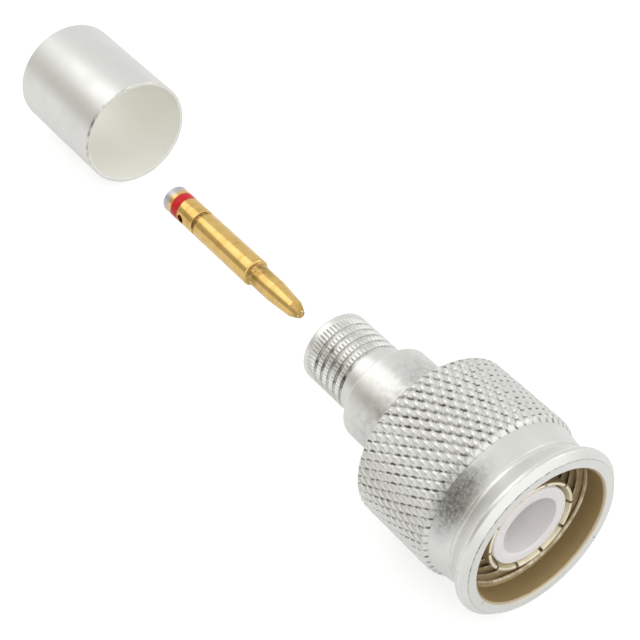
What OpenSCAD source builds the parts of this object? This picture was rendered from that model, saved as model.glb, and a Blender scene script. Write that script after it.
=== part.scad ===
// Cable plug of the threaded SC coaxial series, with its crimp ferrule and centre contact taken off.
// Millimetres. The connector axis is X: +X leaves the mating face, and X = 0 is the nut's front face.
// Every length along the axis is a distance behind that face, or behind the end of its own piece.

/* [Coupling thread] */
// Diameter over the crests of the jack's 11/16-24 thread
thread_d = 17.46; // [17:0.02:21]
// Depth of the thread in the nut
thread_depth = 0.53; // [0.28:0.01:0.73]
// Distance from the front face to the end of the thread
thread_end = 8.3; // [6:0.1:9]
// Radial play of the jack's thread in the smooth mouth
mouth_play = 0.02; // [0.02:0.01:0.47]
// Depth of the smooth mouth
mouth_depth = 2.8; // [1.5:0.1:4]
// Width of the bevel at the mouth
mouth_bevel = 0.25; // [0.1:0.05:0.5]
// Step from the jack's thread out to the relief behind the nut's thread
relief_step = 0.07; // [0.02:0.01:0.47]

/* [Coupling nut] */
// Whole length of the nut
nut_len = 18.6; // [16.4:0.1:24]
// Wall from the relief out to the plain band in front of the knurl
nut_wall = 0.95; // [0.7:0.05:1.4]
// Step from the plain band in to the turned neck
nut_neck_step = 0.15; // [0.05:0.05:0.4]
// Distance from the front face to the end of the turned neck
nut_neck_end = 3.6; // [3:0.1:5]
// Step from the turned neck out to the flange
flange_rise = 1.2; // [0.6:0.1:3]
// Thickness of the front flange
flange_t = 1.4; // [1:0.1:2]
// Radius of the flange's turned edges
flange_edge_r = 0.35; // [0.1:0.05:0.45]
// Distance from the front face to the start of the knurl
knurl_start = 6.5; // [5.5:0.05:9]
// Step from the plain band out to the knurl's points
knurl_rise = 0.95; // [0.65:0.05:2.25]
// Number of diamonds round the knurl
knurl_count = 56; // [40:1:60]
// Angle between the knurl's grooves and the axis
knurl_helix_deg = 30; // [20:1:40]
// Depth of the knurl's grooves
knurl_depth = 0.36; // [0.15:0.01:0.45]
// Drop of the diamonds' points along the knurl's front and back edges
knurl_edge_drop = 0.5; // [0.1:0.05:0.6]
// Plain stretch left behind the knurl
knurl_rear_land = 0.2; // [0.1:0.05:0.5]
// Width of the chamfer at the nut's back edge
nut_rear_chamfer = 0.3; // [0.1:0.05:0.5]

/* [Connector body] */
// Distance from the nut's front face to the body's front face
body_front = 9.6; // [9.2:0.1:11.6]
// Radial play with which the shoulder passes through the nut's thread
shoulder_play = 0.2; // [0.05:0.05:0.6]
// Thickness of the shoulder that the nut pulls on
shoulder_t = 2.4; // [1.5:0.1:3]
// Step from the shoulder in to the journal that the nut turns on
shoulder_step = 0.95; // [0.7:0.05:1.3]
// Step from the journal in to the plain neck behind the nut
neck_step = 0.85; // [0.5:0.05:1.05]
// Length of the plain neck behind the nut
neck_len = 7.9; // [5.4:0.1:11.4]
// Length of the cone between neck and crimp post
cone_len = 1; // [0.4:0.1:2]
// Diameter of the bore that takes the cable's dielectric
cable_bore_d = 7.3; // [7.1:0.02:8.8]
// Wall of the crimp post
post_wall = 0.97; // [0.7:0.01:1.3]
// Length of the crimp post behind the cone
post_len = 9; // [7:0.1:12]
// Radius of the post's rear edge
post_edge_r = 0.3; // [0.1:0.05:0.4]
// Length of the smooth root of the post
post_root_len = 1.6; // [1:0.1:3]
// Number of ring grooves in the post
post_grooves = 5; // [2:1:6]
// Distance from one ring groove to the next
post_groove_pitch = 1.18; // [0.9:0.02:1.3]
// Width of one ring groove
post_groove_w = 0.42; // [0.2:0.02:0.5]
// Depth of one ring groove
post_groove_depth = 0.3; // [0.2:0.05:0.4]
// Number of straight knurl grooves round the post
post_knurl_count = 60; // [40:1:72]
// Depth of the post's straight knurl
post_knurl_depth = 0.16; // [0.08:0.02:0.2]
// Smooth stretch behind the post's knurl
post_rear_land = 0.9; // [0.5:0.1:1.5]

/* [Retaining ring and gasket] */
// Distance from the back of the shoulder to the ring
ring_behind_shoulder = 2.8; // [2:0.1:3.6]
// Thickness of the retaining ring
ring_t = 0.8; // [0.5:0.1:1]
// Depth to which the ring sits in the journal
ring_bite = 0.5; // [0.3:0.05:0.6]
// Width of the ring's wire from inside to outside
ring_w = 1.1; // [0.9:0.05:1.35]
// Angle of the ring's open gap
ring_gap_deg = 36; // [20:1:60]
// Thickness of the face gasket
gasket_t = 1; // [0.6:0.1:1.2]
// Distance by which the gasket's rim stays inside the shoulder
gasket_inset = 0.15; // [0.05:0.05:0.7]
// Radial gap between the gasket and the outer contact
gasket_gap = 0.85; // [0.6:0.05:1.2]

/* [Outer contact] */
// Inside diameter of the sleeve
sleeve_id = 10.2; // [9.6:0.02:12.3]
// Wall of the sleeve
sleeve_wall = 0.55; // [0.4:0.01:0.62]
// Distance from the nut's front face to the finger tips
finger_tip = 1.76; // [1.2:0.02:3]
// Swell of the finger tips beyond the sleeve
finger_swell = 0.18; // [0.1:0.01:0.25]
// Length of the swollen tips
finger_lip_len = 1.6; // [1:0.1:2.5]
// Step from the sleeve out to its seat in the body
sleeve_seat_step = 0.25; // [0.1:0.05:0.55]
// Length of the sleeve's seat in the body
sleeve_seat_len = 4.4; // [3:0.1:4.6]
// Number of slots between the fingers
slot_count = 10; // [6:2:12]
// Turn of the first slot from the horizontal
slot_phase_deg = 3.5; // [0:0.5:30]
// Width of one slot
slot_w = 0.4; // [0.25:0.05:0.6]
// Length of the slots
slot_len = 6.4; // [4:0.1:7]

/* [Insulators] */
// Distance from the nut's front face to the front insulator
insulator_front = 1.95; // [1.8:0.05:3]
// Radial gap between the front insulator and the fingers
insulator_gap = 0.2; // [0.1:0.02:0.4]
// Diameter of the front insulator's bore
insulator_bore_d = 7.24; // [6.8:0.02:7.6]
// Length of the front insulator's seat in the sleeve
insulator_seat_len = 2; // [1:0.1:3]
// Length of the rear insulator
bead_len = 5.4; // [3:0.1:5.6]
// Depth of the lead-in at each end of the rear insulator's bore
bead_bevel = 0.4; // [0.2:0.05:0.6]

/* [Centre contact] */
// Whole length of the centre contact
contact_len = 28; // [24:0.1:32]
// Diameter of the contact's barrel
barrel_d = 4.04; // [3.8:0.02:4.9]
// Length of the pin in front of the barrel
pin_len = 9.5; // [7:0.1:11]
// Diameter of the pin at its root
pin_root_d = 3.3; // [3:0.05:3.6]
// Length of the pin's taper behind its point
pin_taper_len = 4; // [2:0.1:5]
// Diameter of the pin behind its point
pin_tip_d = 2.6; // [2.2:0.05:2.9]
// Length of the blunt point
point_len = 1.4; // [0.6:0.1:2]
// Diameter of the flat on the point
point_flat_d = 1; // [0.6:0.1:1.4]
// Diameter of the solder cup's bore
cup_d = 2.7; // [2.3:0.05:3]
// Depth of the solder cup
cup_depth = 6; // [4.5:0.1:9]
// Diameter of the inspection hole in the cup's wall
peep_d = 1.2; // [0.8:0.1:1.5]
// Distance of the inspection hole from the back end
peep_from_rear = 4; // [3:0.1:6]
// Distance of the ring groove from the back end
contact_groove_from_rear = 7.1; // [5:0.1:10]
// Width of the ring groove
contact_groove_w = 0.5; // [0.3:0.05:0.8]
// Depth of the ring groove
contact_groove_depth = 0.22; // [0.1:0.02:0.35]

/* [Crimp ferrule] */
// Outside diameter of the ferrule
ferrule_d = 15.5; // [14:0.1:17]
// Wall thickness of the ferrule
ferrule_wall = 0.45; // [0.3:0.05:0.8]
// Length of the ferrule
ferrule_len = 18.2; // [15:0.1:22]
// Radius of the ferrule's edges
ferrule_edge_r = 0.16; // [0.05:0.01:0.2]

/* [Fits] */
// Radial play of a part that turns or slides in another
running_gap = 0.05; // [0.03:0.01:0.1]
// Radial play of a part that is seated for good
seat_gap = 0.02; // [0.01:0.01:0.04]
// Play along the axis between parts that move past each other
end_gap = 0.3; // [0.2:0.05:0.4]

/* [Pieces taken off] */
// Gap along the axis from the crimp post to the centre contact's point
contact_off = 6.6; // [6.6:0.1:30]
// Gap along the axis from the centre contact's back end to the ferrule
ferrule_off = 19.1; // [2:0.1:30]
// Distance that the ferrule lies to the side of the connector axis
ferrule_aside = 5.5; // [0:0.5:14]

/* [Hidden] */

silver = "#d6d7d0";
steel = "#b9bab6";
gold = "#cfa548";
fluoropolymer = "#eceae6";
seal_red = "#a8432f";

fine = 96;
knurl_bite = 0.4;
arc_steps = 6;
cut = 1;

thread_minor_d = thread_d - 2 * thread_depth;
mouth_d = thread_d + 2 * mouth_play;
relief_d = thread_d + 2 * relief_step;
nut_band_d = relief_d + 2 * nut_wall;
nut_neck_d = nut_band_d - 2 * nut_neck_step;
flange_d = nut_neck_d + 2 * flange_rise;
knurl_d = nut_band_d + 2 * knurl_rise;

shoulder_d = thread_minor_d - 2 * shoulder_play;
journal_d = shoulder_d - 2 * shoulder_step;
neck_d = journal_d - 2 * neck_step;
post_d = cable_bore_d + 2 * post_wall;
ring_id = journal_d - 2 * ring_bite;
ring_od = ring_id + 2 * ring_w;

sleeve_d = sleeve_id + 2 * sleeve_wall;
finger_tip_d = sleeve_d + 2 * finger_swell;
sleeve_seat_d = sleeve_d + 2 * sleeve_seat_step;
gasket_od = shoulder_d - 2 * gasket_inset;
gasket_id = sleeve_d + 2 * gasket_gap;
insulator_d = sleeve_id - 2 * insulator_gap;

shoulder_back = body_front + shoulder_t;
ring_at = shoulder_back + ring_behind_shoulder;
sleeve_end = body_front + sleeve_seat_len;
neck_end = nut_len + neck_len;
nut_step = shoulder_back + end_gap;
ring_groove_front = ring_at - end_gap / 2;
ring_groove_back = ring_at + ring_t + end_gap / 2;
post_start = neck_end + cone_len;
post_end = post_start + post_len;
bead_front = sleeve_end + seat_gap;
bead_back = bead_front + bead_len;
bead_stop = bead_back + seat_gap;
bead_d = sleeve_id - 2 * seat_gap;
contact_tip = post_end + contact_off;
contact_rear = contact_tip + contact_len;
ferrule_front = contact_rear + ferrule_off;
ferrule_bore_d = ferrule_d - 2 * ferrule_wall;
ferrule_drop = (flange_d - ferrule_d) / 2;

// Quarter round from one angle to another about a centre, as outline points of radius and distance.
function quarter(centre_r, centre_at, r, from_deg, to_deg) =
    [for (i = [0:arc_steps])
        let (a = from_deg + (to_deg - from_deg) * i / arc_steps)
        [centre_r + r * cos(a), centre_at + r * sin(a)]];

// Revolves an outline of [radius, distance behind the front face] about the connector axis.
module turned(outline) {
    rotate([0, 90, 0])
        rotate_extrude($fn = fine)
            polygon([for (p = outline) [p[0], -p[1]]]);
}

// Ring of rectangular section between two diameters and two distances.
module collar(od, id, front, back) {
    turned([[id / 2, front], [od / 2, front], [od / 2, back], [id / 2, back]]);
}

// Closed ring whose outside is a diamond knurl: points and groove crossings take turns round each row.
module diamond_ring(count, rows, front, back, crest_r, depth, edge_drop, inner_r) {
    columns = 2 * count;
    turn = 360 / columns;
    row_step = (back - front) / rows;
    function dropped(row) = row == 0 || row == rows ? edge_drop : 0;
    function shell_r(row, column) = crest_r - dropped(row) - ((row + column) % 2 == 0 ? 0 : depth);
    function at(r, row, column) =
        [-front - row * row_step, r * cos(column * turn), r * sin(column * turn)];
    function outer(row, column) = row * columns + column % columns;
    function inner(end, column) = (rows + 1 + end) * columns + column % columns;
    shell = [for (row = [0:rows], column = [0:columns - 1]) at(shell_r(row, column), row, column)];
    core = [for (end = [0, 1], column = [0:columns - 1]) at(inner_r, end * rows, column)];
    facets = [
        for (row = [0:rows - 1], column = [0:columns - 1])
            let (a = outer(row, column), b = outer(row, column + 1),
                 c = outer(row + 1, column + 1), d = outer(row + 1, column))
            each (row + column) % 2 == 0 ? [[a, b, d], [b, c, d]] : [[a, b, c], [a, c, d]]];
    ends = [
        for (column = [0:columns - 1])
            each [[inner(0, column), inner(0, column + 1), outer(0, column + 1), outer(0, column)],
                  [outer(rows, column), outer(rows, column + 1), inner(1, column + 1), inner(1, column)],
                  [inner(1, column), inner(1, column + 1), inner(0, column + 1), inner(0, column)]]];
    polyhedron(points = concat(shell, core), faces = concat(facets, ends));
}

module coupling_nut() {
    edge = flange_edge_r;
    outline = concat(
        [[mouth_d / 2 + mouth_bevel, 0]],
        quarter(flange_d / 2 - edge, edge, edge, -90, 0),
        quarter(flange_d / 2 - edge, flange_t - edge, edge, 0, 90),
        [[nut_neck_d / 2, flange_t], [nut_neck_d / 2, nut_neck_end], [nut_band_d / 2, nut_neck_end],
         [nut_band_d / 2, nut_len - nut_rear_chamfer], [nut_band_d / 2 - nut_rear_chamfer, nut_len],
         [journal_d / 2 + running_gap, nut_len], [journal_d / 2 + running_gap, nut_step],
         [relief_d / 2, nut_step], [relief_d / 2, thread_end], [thread_minor_d / 2, thread_end],
         [thread_minor_d / 2, mouth_depth + (mouth_d - thread_minor_d) / 2], [mouth_d / 2, mouth_depth],
         [mouth_d / 2, mouth_bevel]]);
    knurl_back = nut_len - knurl_rear_land;
    half_diamond = 180 / knurl_count / 2 * PI / 180 * knurl_d / tan(knurl_helix_deg);
    rows = round((knurl_back - knurl_start) / half_diamond);
    color(silver) {
        difference() {
            turned(outline);
            collar(ring_od + 2 * end_gap, journal_d, ring_groove_front, ring_groove_back);
        }
        diamond_ring(knurl_count, rows, knurl_start, knurl_back, knurl_d / 2, knurl_depth,
                     knurl_edge_drop, nut_band_d / 2 - knurl_bite);
    }
}

// Straight V grooves round the post; their flanks run on past its surface, so that they cross it cleanly.
module straight_knurl(count, crest_d, depth, front, back) {
    turn = 360 / count;
    flank_w = turn / 3;
    root_r = crest_d / 2 - depth;
    flank_r = crest_d / 2 + depth / 3;
    star = [for (i = [0:count - 1])
        each [[root_r * cos(i * turn), root_r * sin(i * turn)],
              [flank_r * cos(i * turn + flank_w), flank_r * sin(i * turn + flank_w)],
              [flank_r * cos(i * turn + turn - flank_w), flank_r * sin(i * turn + turn - flank_w)]]];
    translate([-back, 0, 0])
        rotate([0, 90, 0])
            linear_extrude(back - front)
                difference() {
                    circle(d = crest_d + cut, $fn = fine);
                    polygon(star);
                }
}

module connector_body() {
    knurl_front = post_start + post_root_len;
    outline = concat(
        [[sleeve_seat_d / 2 + seat_gap, body_front], [shoulder_d / 2, body_front],
         [shoulder_d / 2, shoulder_back], [journal_d / 2, shoulder_back], [journal_d / 2, nut_len - end_gap],
         [neck_d / 2, nut_len], [neck_d / 2, neck_end], [post_d / 2, post_start]],
        quarter(post_d / 2 - post_edge_r, post_end - post_edge_r, post_edge_r, 0, 90),
        [[cable_bore_d / 2, post_end], [cable_bore_d / 2, bead_stop], [bead_d / 2 + seat_gap, bead_stop],
         [bead_d / 2 + seat_gap, sleeve_end + seat_gap],
         [sleeve_seat_d / 2 + seat_gap, sleeve_end + seat_gap]]);
    color(silver)
        difference() {
            turned(outline);
            collar(journal_d + cut, ring_id - 2 * seat_gap, ring_groove_front, ring_groove_back);
            for (i = [0:post_grooves - 1])
                let (at = knurl_front + i * post_groove_pitch)
                    collar(post_d + cut, post_d - 2 * post_groove_depth, at, at + post_groove_w);
            straight_knurl(post_knurl_count, post_d, post_knurl_depth, knurl_front,
                           post_end - post_rear_land);
        }
}

module retaining_ring() {
    color(steel)
        rotate([0, 90, 0])
            rotate([0, 0, ring_gap_deg / 2])
                translate([0, 0, -ring_at - ring_t])
                    rotate_extrude(angle = 360 - ring_gap_deg, $fn = fine)
                        translate([ring_id / 2, 0])
                            square([(ring_od - ring_id) / 2, ring_t]);
}

module face_gasket() {
    color(seal_red) collar(gasket_od, gasket_id, body_front - gasket_t, body_front);
}

module outer_contact() {
    tip_r = (finger_tip_d - sleeve_id) / 4;
    lip_end = finger_tip + finger_lip_len;
    outline = concat(
        quarter(finger_tip_d / 2 - tip_r, finger_tip + tip_r, tip_r, -180, 0),
        [[finger_tip_d / 2, lip_end - (finger_tip_d - sleeve_d) / 2], [sleeve_d / 2, lip_end],
         [sleeve_d / 2, body_front], [sleeve_seat_d / 2, body_front],
         [sleeve_seat_d / 2, sleeve_end], [sleeve_id / 2, sleeve_end]]);
    color(gold)
        difference() {
            turned(outline);
            for (i = [0:slot_count / 2 - 1])
                rotate([slot_phase_deg + 360 * i / slot_count, 0, 0])
                    translate([-finger_tip - slot_len, -flange_d / 2, -slot_w / 2])
                        cube([slot_len + cut, flange_d, slot_w]);
        }
}

module front_insulator() {
    seat_front = sleeve_end - insulator_seat_len;
    outline = [[insulator_bore_d / 2, insulator_front], [insulator_d / 2, insulator_front],
               [insulator_d / 2, seat_front], [bead_d / 2, seat_front], [bead_d / 2, sleeve_end],
               [insulator_bore_d / 2, sleeve_end]];
    color(fluoropolymer) turned(outline);
}

module rear_insulator() {
    bore = barrel_d / 2 + running_gap;
    outline = [[bore + bead_bevel, bead_front], [bead_d / 2, bead_front], [bead_d / 2, bead_back],
               [bore + bead_bevel, bead_back], [bore, bead_back - bead_bevel],
               [bore, bead_front + bead_bevel]];
    color(fluoropolymer) turned(outline);
}

module centre_contact() {
    shoulder_at = contact_tip + pin_len;
    groove_at = contact_rear - contact_groove_from_rear;
    taper_at = contact_tip + point_len;
    outline = [[0, contact_tip], [point_flat_d / 2, contact_tip], [pin_tip_d / 2, taper_at],
               [pin_root_d / 2, taper_at + pin_taper_len], [pin_root_d / 2, shoulder_at],
               [barrel_d / 2, shoulder_at],
               [barrel_d / 2, contact_rear], [cup_d / 2, contact_rear],
               [cup_d / 2, contact_rear - cup_depth], [0, contact_rear - cup_depth]];
    color(gold)
        difference() {
            turned(outline);
            collar(barrel_d + cut, barrel_d - 2 * contact_groove_depth, groove_at,
                   groove_at + contact_groove_w);
            translate([-contact_rear + peep_from_rear, 0, 0])
                rotate([90, 0, 0])
                    cylinder(h = barrel_d, d = peep_d, $fn = 32);
        }
}

// Lies on the table that the flange touches, to one side of the axis.
module crimp_ferrule() {
    ferrule_back = ferrule_front + ferrule_len;
    edge = ferrule_edge_r;
    outline = concat(
        [[ferrule_bore_d / 2, ferrule_front + edge], [ferrule_bore_d / 2 + edge / 2, ferrule_front]],
        quarter(ferrule_d / 2 - edge, ferrule_front + edge, edge, -90, 0),
        quarter(ferrule_d / 2 - edge, ferrule_back - edge, edge, 0, 90),
        [[ferrule_bore_d / 2 + edge / 2, ferrule_back], [ferrule_bore_d / 2, ferrule_back - edge]]);
    color(silver) translate([0, ferrule_aside, -ferrule_drop]) turned(outline);
}

coupling_nut();
connector_body();
retaining_ring();
face_gasket();
outer_contact();
front_insulator();
rear_insulator();
centre_contact();
crimp_ferrule();
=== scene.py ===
"""Looks of a cable plug of the threaded SC coaxial series, its centre contact and crimp ferrule taken off.

Every length in a class below is in millimetres. The connector axis is X, and a station is the distance
behind the coupling nut's front face, so a point of radius r at station s lies at x = -s. An angle round
the axis runs from +Y toward +Z.
"""

import logging
import math
from abc import ABC, abstractmethod
from collections.abc import Sequence
from dataclasses import dataclass, field, replace
from enum import Enum

import bmesh
import bpy
import numpy as np
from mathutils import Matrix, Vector


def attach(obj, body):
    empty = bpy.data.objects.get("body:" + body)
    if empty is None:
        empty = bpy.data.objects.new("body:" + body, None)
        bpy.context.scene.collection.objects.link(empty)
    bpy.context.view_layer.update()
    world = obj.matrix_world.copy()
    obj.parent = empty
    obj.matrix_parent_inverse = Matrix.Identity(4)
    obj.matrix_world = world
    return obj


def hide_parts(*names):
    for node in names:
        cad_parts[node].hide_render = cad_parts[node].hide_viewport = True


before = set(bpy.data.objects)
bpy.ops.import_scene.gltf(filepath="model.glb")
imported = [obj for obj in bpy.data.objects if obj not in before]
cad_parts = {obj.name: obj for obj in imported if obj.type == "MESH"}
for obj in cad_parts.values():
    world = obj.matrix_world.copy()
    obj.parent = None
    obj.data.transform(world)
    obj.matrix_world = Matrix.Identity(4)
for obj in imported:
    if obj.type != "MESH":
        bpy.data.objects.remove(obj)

LOG = logging.getLogger("coaxial_plug")
MM = 0.001
TURN = 2 * math.pi

# Angle above which an edge is shaded sharp
CREASE_DEG = 38.0
# Share of an outline's side that the rounding at one end of it may take
EASED_SHARE = 0.48
# Length that tells one station from the next
HAIR = 0.01

Node = bpy.types.Node
Socket = bpy.types.NodeSocket
Rgb = tuple[float, float, float]
Span = tuple[float, float]
Value = float | Sequence[float] | Socket
Numbers = float | np.ndarray

WHITE: Rgb = (1.0, 1.0, 1.0)


class Mark(Enum):
    """What a point of a turned mesh says about its place, for the finishes to read."""

    # Worn edges; on the nut's thread crests, painted glints
    EDGE = "edge"
    BORE = "bore"
    # Where the finishes paint shade into grooves, creases and the lines round rims
    GROOVE = "groove"


class Body(Enum):
    """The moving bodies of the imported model."""

    CONNECTOR = "connector"
    NUT = "nut"
    CONTACT = "contact"
    FERRULE = "ferrule"


@dataclass(frozen=True)
class Corner:
    """One corner of a turned outline.

    Attributes:
        radius: Distance from the axis.
        station: Distance behind the nut's front face.
        ease: Radius that rounds the corner.
        bore: 1 where the corner is inside a bore, 0 outside.
        groove: 1 at the bottom of a groove, 0 elsewhere.
    """

    radius: float
    station: float
    ease: float = 0.0
    bore: float = 0.0
    groove: float = 0.0


@dataclass(frozen=True)
class Stop:
    """One point of an outline once its corners are rounded.

    Attributes:
        radius: Distance from the axis.
        station: Distance behind the nut's front face.
        edge: 1 on the crown of a rounded corner, 0 elsewhere.
        bore: 1 inside a bore, 0 outside.
        groove: 1 at the bottom of a groove, 0 elsewhere.
    """

    radius: float
    station: float
    edge: float
    bore: float
    groove: float


def eased(before: Corner, corner: Corner, after: Corner, steps: int) -> list[Stop]:
    """Rounds one corner of an outline with an arc.

    Args:
        before: The corner before it.
        corner: The corner to round.
        after: The corner after it.
        steps: Chords in the arc.

    Returns:
        The points of the arc.
    """
    here = np.array([corner.radius, corner.station])
    back = np.array([before.radius, before.station]) - here
    ahead = np.array([after.radius, after.station]) - here
    back_len, ahead_len = np.linalg.norm(back), np.linalg.norm(ahead)
    back, ahead = back / back_len, ahead / ahead_len
    half = math.acos(float(np.clip(back @ ahead, -1, 1))) / 2
    reach = min(corner.ease / math.tan(half), EASED_SHARE * back_len, EASED_SHARE * ahead_len)
    radius = reach * math.tan(half)
    middle = back + ahead
    centre = here + middle / np.linalg.norm(middle) * radius / math.sin(half)
    start, end = here + back * reach - centre, here + ahead * reach - centre
    sweep = math.pi - 2 * half
    arc = []
    for k in range(steps + 1):
        t = k / steps
        point = centre + (math.sin((1 - t) * sweep) * start + math.sin(t * sweep) * end) / math.sin(sweep)
        edge = 0.0 if k in (0, steps) else 1.0
        arc.append(Stop(float(point[0]), float(point[1]), edge, corner.bore, corner.groove))
    return arc


def rounded(corners: Sequence[Corner], closed: bool = True, steps: int = 4) -> list[Stop]:
    """Rounds the corners of an outline with arcs.

    Args:
        corners: The outline's corners in order.
        closed: Whether the last corner joins the first.
        steps: Chords in each arc.

    Returns:
        The points of the rounded outline, in the same order.
    """
    stops: list[Stop] = []
    count = len(corners)
    for i, corner in enumerate(corners):
        if corner.ease > 0 and (closed or 0 < i < count - 1):
            stops += eased(corners[i - 1], corner, corners[(i + 1) % count], steps)
        else:
            stops.append(Stop(corner.radius, corner.station, 0.0, corner.bore, corner.groove))
    return stops


def spread(count: int) -> np.ndarray:
    """Returns the angles of points spread evenly round the axis, in radians."""
    return np.arange(count) * TURN / count


def fading(distance: np.ndarray, span: Span) -> np.ndarray:
    """Returns 1 up to the start of a span and 0 from its end, with a straight ramp between."""
    return np.clip((span[1] - distance) / (span[1] - span[0]), 0, 1)


@dataclass(frozen=True)
class OneSidedShade:
    """Makes a mark of the mesh strong on one side of a piece and faint on the other, so that its painted
    shade is dark on that side only.

    Attributes:
        at_deg: Angle round the axis where the mark is strongest.
        half_deg: Half-width of the strong side.
        least: What is left of the mark far from it.
    """

    at_deg: float
    half_deg: float
    least: float

    def share(self, angles: np.ndarray) -> np.ndarray:
        """Returns what is left of the mark at each angle, given in radians."""
        away = (np.degrees(angles) - self.at_deg) / self.half_deg
        return self.least + (1 - self.least) * np.exp(-away ** 2)


@dataclass
class TurnedMesh:
    """Gathers rings of points about the connector axis and joins them into one mesh.

    Attributes:
        points: Places of the points, one array for each ring.
        faces: Indices of each face's points.
        marks: Values of each mark, one array for each ring.
        count: How many points there are.
    """

    points: list[np.ndarray] = field(default_factory=list)
    faces: list[tuple[int, ...]] = field(default_factory=list)
    marks: dict[Mark, list[np.ndarray]] = field(default_factory=lambda: {mark: [] for mark in Mark})
    count: int = 0

    def ring(self, radius: Numbers, station: float, angles: np.ndarray, edge: Numbers = 0.0,
             bore: Numbers = 0.0, groove: Numbers = 0.0) -> np.ndarray:
        """Adds one ring of points.

        Args:
            radius: Radius of every point, or one for each.
            station: Station of the ring.
            angles: Angle of each point, in radians.
            edge: Edge mark of every point, or one for each.
            bore: Bore mark of every point, or one for each.
            groove: Groove mark of every point, or one for each.

        Returns:
            The indices of the ring's points.
        """
        size = len(angles)
        along = np.full(size, -station)
        self.points.append(np.stack([along, radius * np.cos(angles), radius * np.sin(angles)], 1) * MM)
        for mark, value in ((Mark.EDGE, edge), (Mark.BORE, bore), (Mark.GROOVE, groove)):
            self.marks[mark].append(np.broadcast_to(np.asarray(value, float), size))
        first = self.count
        self.count += size
        return np.arange(first, self.count)

    def ring_at(self, stop: Stop, angles: np.ndarray) -> np.ndarray:
        """Adds one ring at a point of an outline, or a single point where that lies on the axis.

        Args:
            stop: The point of the outline.
            angles: Angle of each point, in radians.

        Returns:
            The indices of the ring's points.
        """
        around = angles if stop.radius > 0 else angles[:1]
        return self.ring(stop.radius, stop.station, around, stop.edge, stop.bore, stop.groove)

    def join(self, a: np.ndarray, b: np.ndarray, whole: bool = True) -> None:
        """Joins two rings with faces.

        One ring may have a whole multiple of the other's points, or be a single point.

        Args:
            a: Indices of the first ring.
            b: Indices of the second ring.
            whole: Whether the rings close on themselves.
        """
        if len(a) < len(b):
            a, b = b, a
        ratio = len(a) // len(b)
        wide = np.append(a, a[:1]) if whole else a
        if len(b) == 1:
            self.faces += [(int(wide[i]), int(wide[i + 1]), int(b[0])) for i in range(len(wide) - 1)]
            return
        narrow = np.append(b, b[:1]) if whole else b
        for i in range(len(narrow) - 1):
            run = wide[i * ratio:(i + 1) * ratio + 1].tolist()
            self.faces.append((*run, int(narrow[i + 1]), int(narrow[i])))

    def join_creased(self, a: np.ndarray, b: np.ndarray, forward: np.ndarray) -> None:
        """Joins two equal rings with triangles whose diagonals follow a pattern.

        Args:
            a: Indices of the first ring.
            b: Indices of the second ring.
            forward: For each face, whether its diagonal runs from this column of a to the next of b.
        """
        c, d = np.roll(a, -1), np.roll(b, -1)
        for i, ahead in enumerate(forward.tolist()):
            p, q, r, s = int(a[i]), int(c[i]), int(d[i]), int(b[i])
            self.faces += [(p, q, r), (p, r, s)] if ahead else [(p, q, s), (q, r, s)]

    def turn(self, stops: Sequence[Stop], angles: np.ndarray) -> list[np.ndarray]:
        """Adds one ring for each point of an outline and joins them in order.

        Args:
            stops: The outline.
            angles: Angles of the rings' points, in radians.

        Returns:
            The rings' indices.
        """
        rings = [self.ring_at(stop, angles) for stop in stops]
        for a, b in zip(rings, rings[1:]):
            self.join(a, b)
        return rings

    def turn_closed(self, section: Sequence[Stop], angles: np.ndarray) -> None:
        """Turns a closed section all the way round the axis.

        Args:
            section: The section's outline.
            angles: Angles of the rings' points, in radians.
        """
        rings = self.turn(section, angles)
        self.join(rings[-1], rings[0])

    def sweep(self, section: Sequence[Stop], angles: np.ndarray) -> None:
        """Sweeps a closed section part of the way round the axis and closes both ends.

        Args:
            section: The section's outline.
            angles: Angles from one end to the other, in radians.
        """
        rings = [self.ring_at(stop, angles) for stop in section]
        for a, b in zip(rings, rings[1:] + rings[:1]):
            self.join(a, b, whole=False)
        for end in (0, -1):
            self.faces.append(tuple(int(ring[end]) for ring in rings))

    def fade(self, mark: Mark, share: np.ndarray) -> None:
        """Scales one mark on all the rings so far, point by point.

        Args:
            mark: The mark to scale.
            share: A factor for each point of a ring.
        """
        self.marks[mark] = [values * share for values in self.marks[mark]]

    def finish(self, name: str) -> bpy.types.Object:
        """Makes the Blender object.

        Args:
            name: Name of the piece.

        Returns:
            The piece, in metres, at its place in the frame.
        """
        mesh = bpy.data.meshes.new(name)
        mesh.from_pydata(np.concatenate(self.points).tolist(), [], self.faces)
        for mark, values in self.marks.items():
            layer = mesh.attributes.new(mark.value, "FLOAT", "POINT")
            layer.data.foreach_set("value", np.concatenate(values).astype(np.float32))
        shell = bmesh.new()
        shell.from_mesh(mesh)
        bmesh.ops.recalc_face_normals(shell, faces=shell.faces[:])
        shell.to_mesh(mesh)
        shell.free()
        piece = bpy.data.objects.new(name, mesh)
        bpy.context.scene.collection.objects.link(piece)
        crease(piece)
        return piece


def crease(piece: bpy.types.Object) -> None:
    """Shades a piece smooth, apart from its sharp edges."""
    piece.data.polygons.foreach_set("use_smooth", [True] * len(piece.data.polygons))
    piece.data.set_sharp_from_angle(angle=math.radians(CREASE_DEG))


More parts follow.
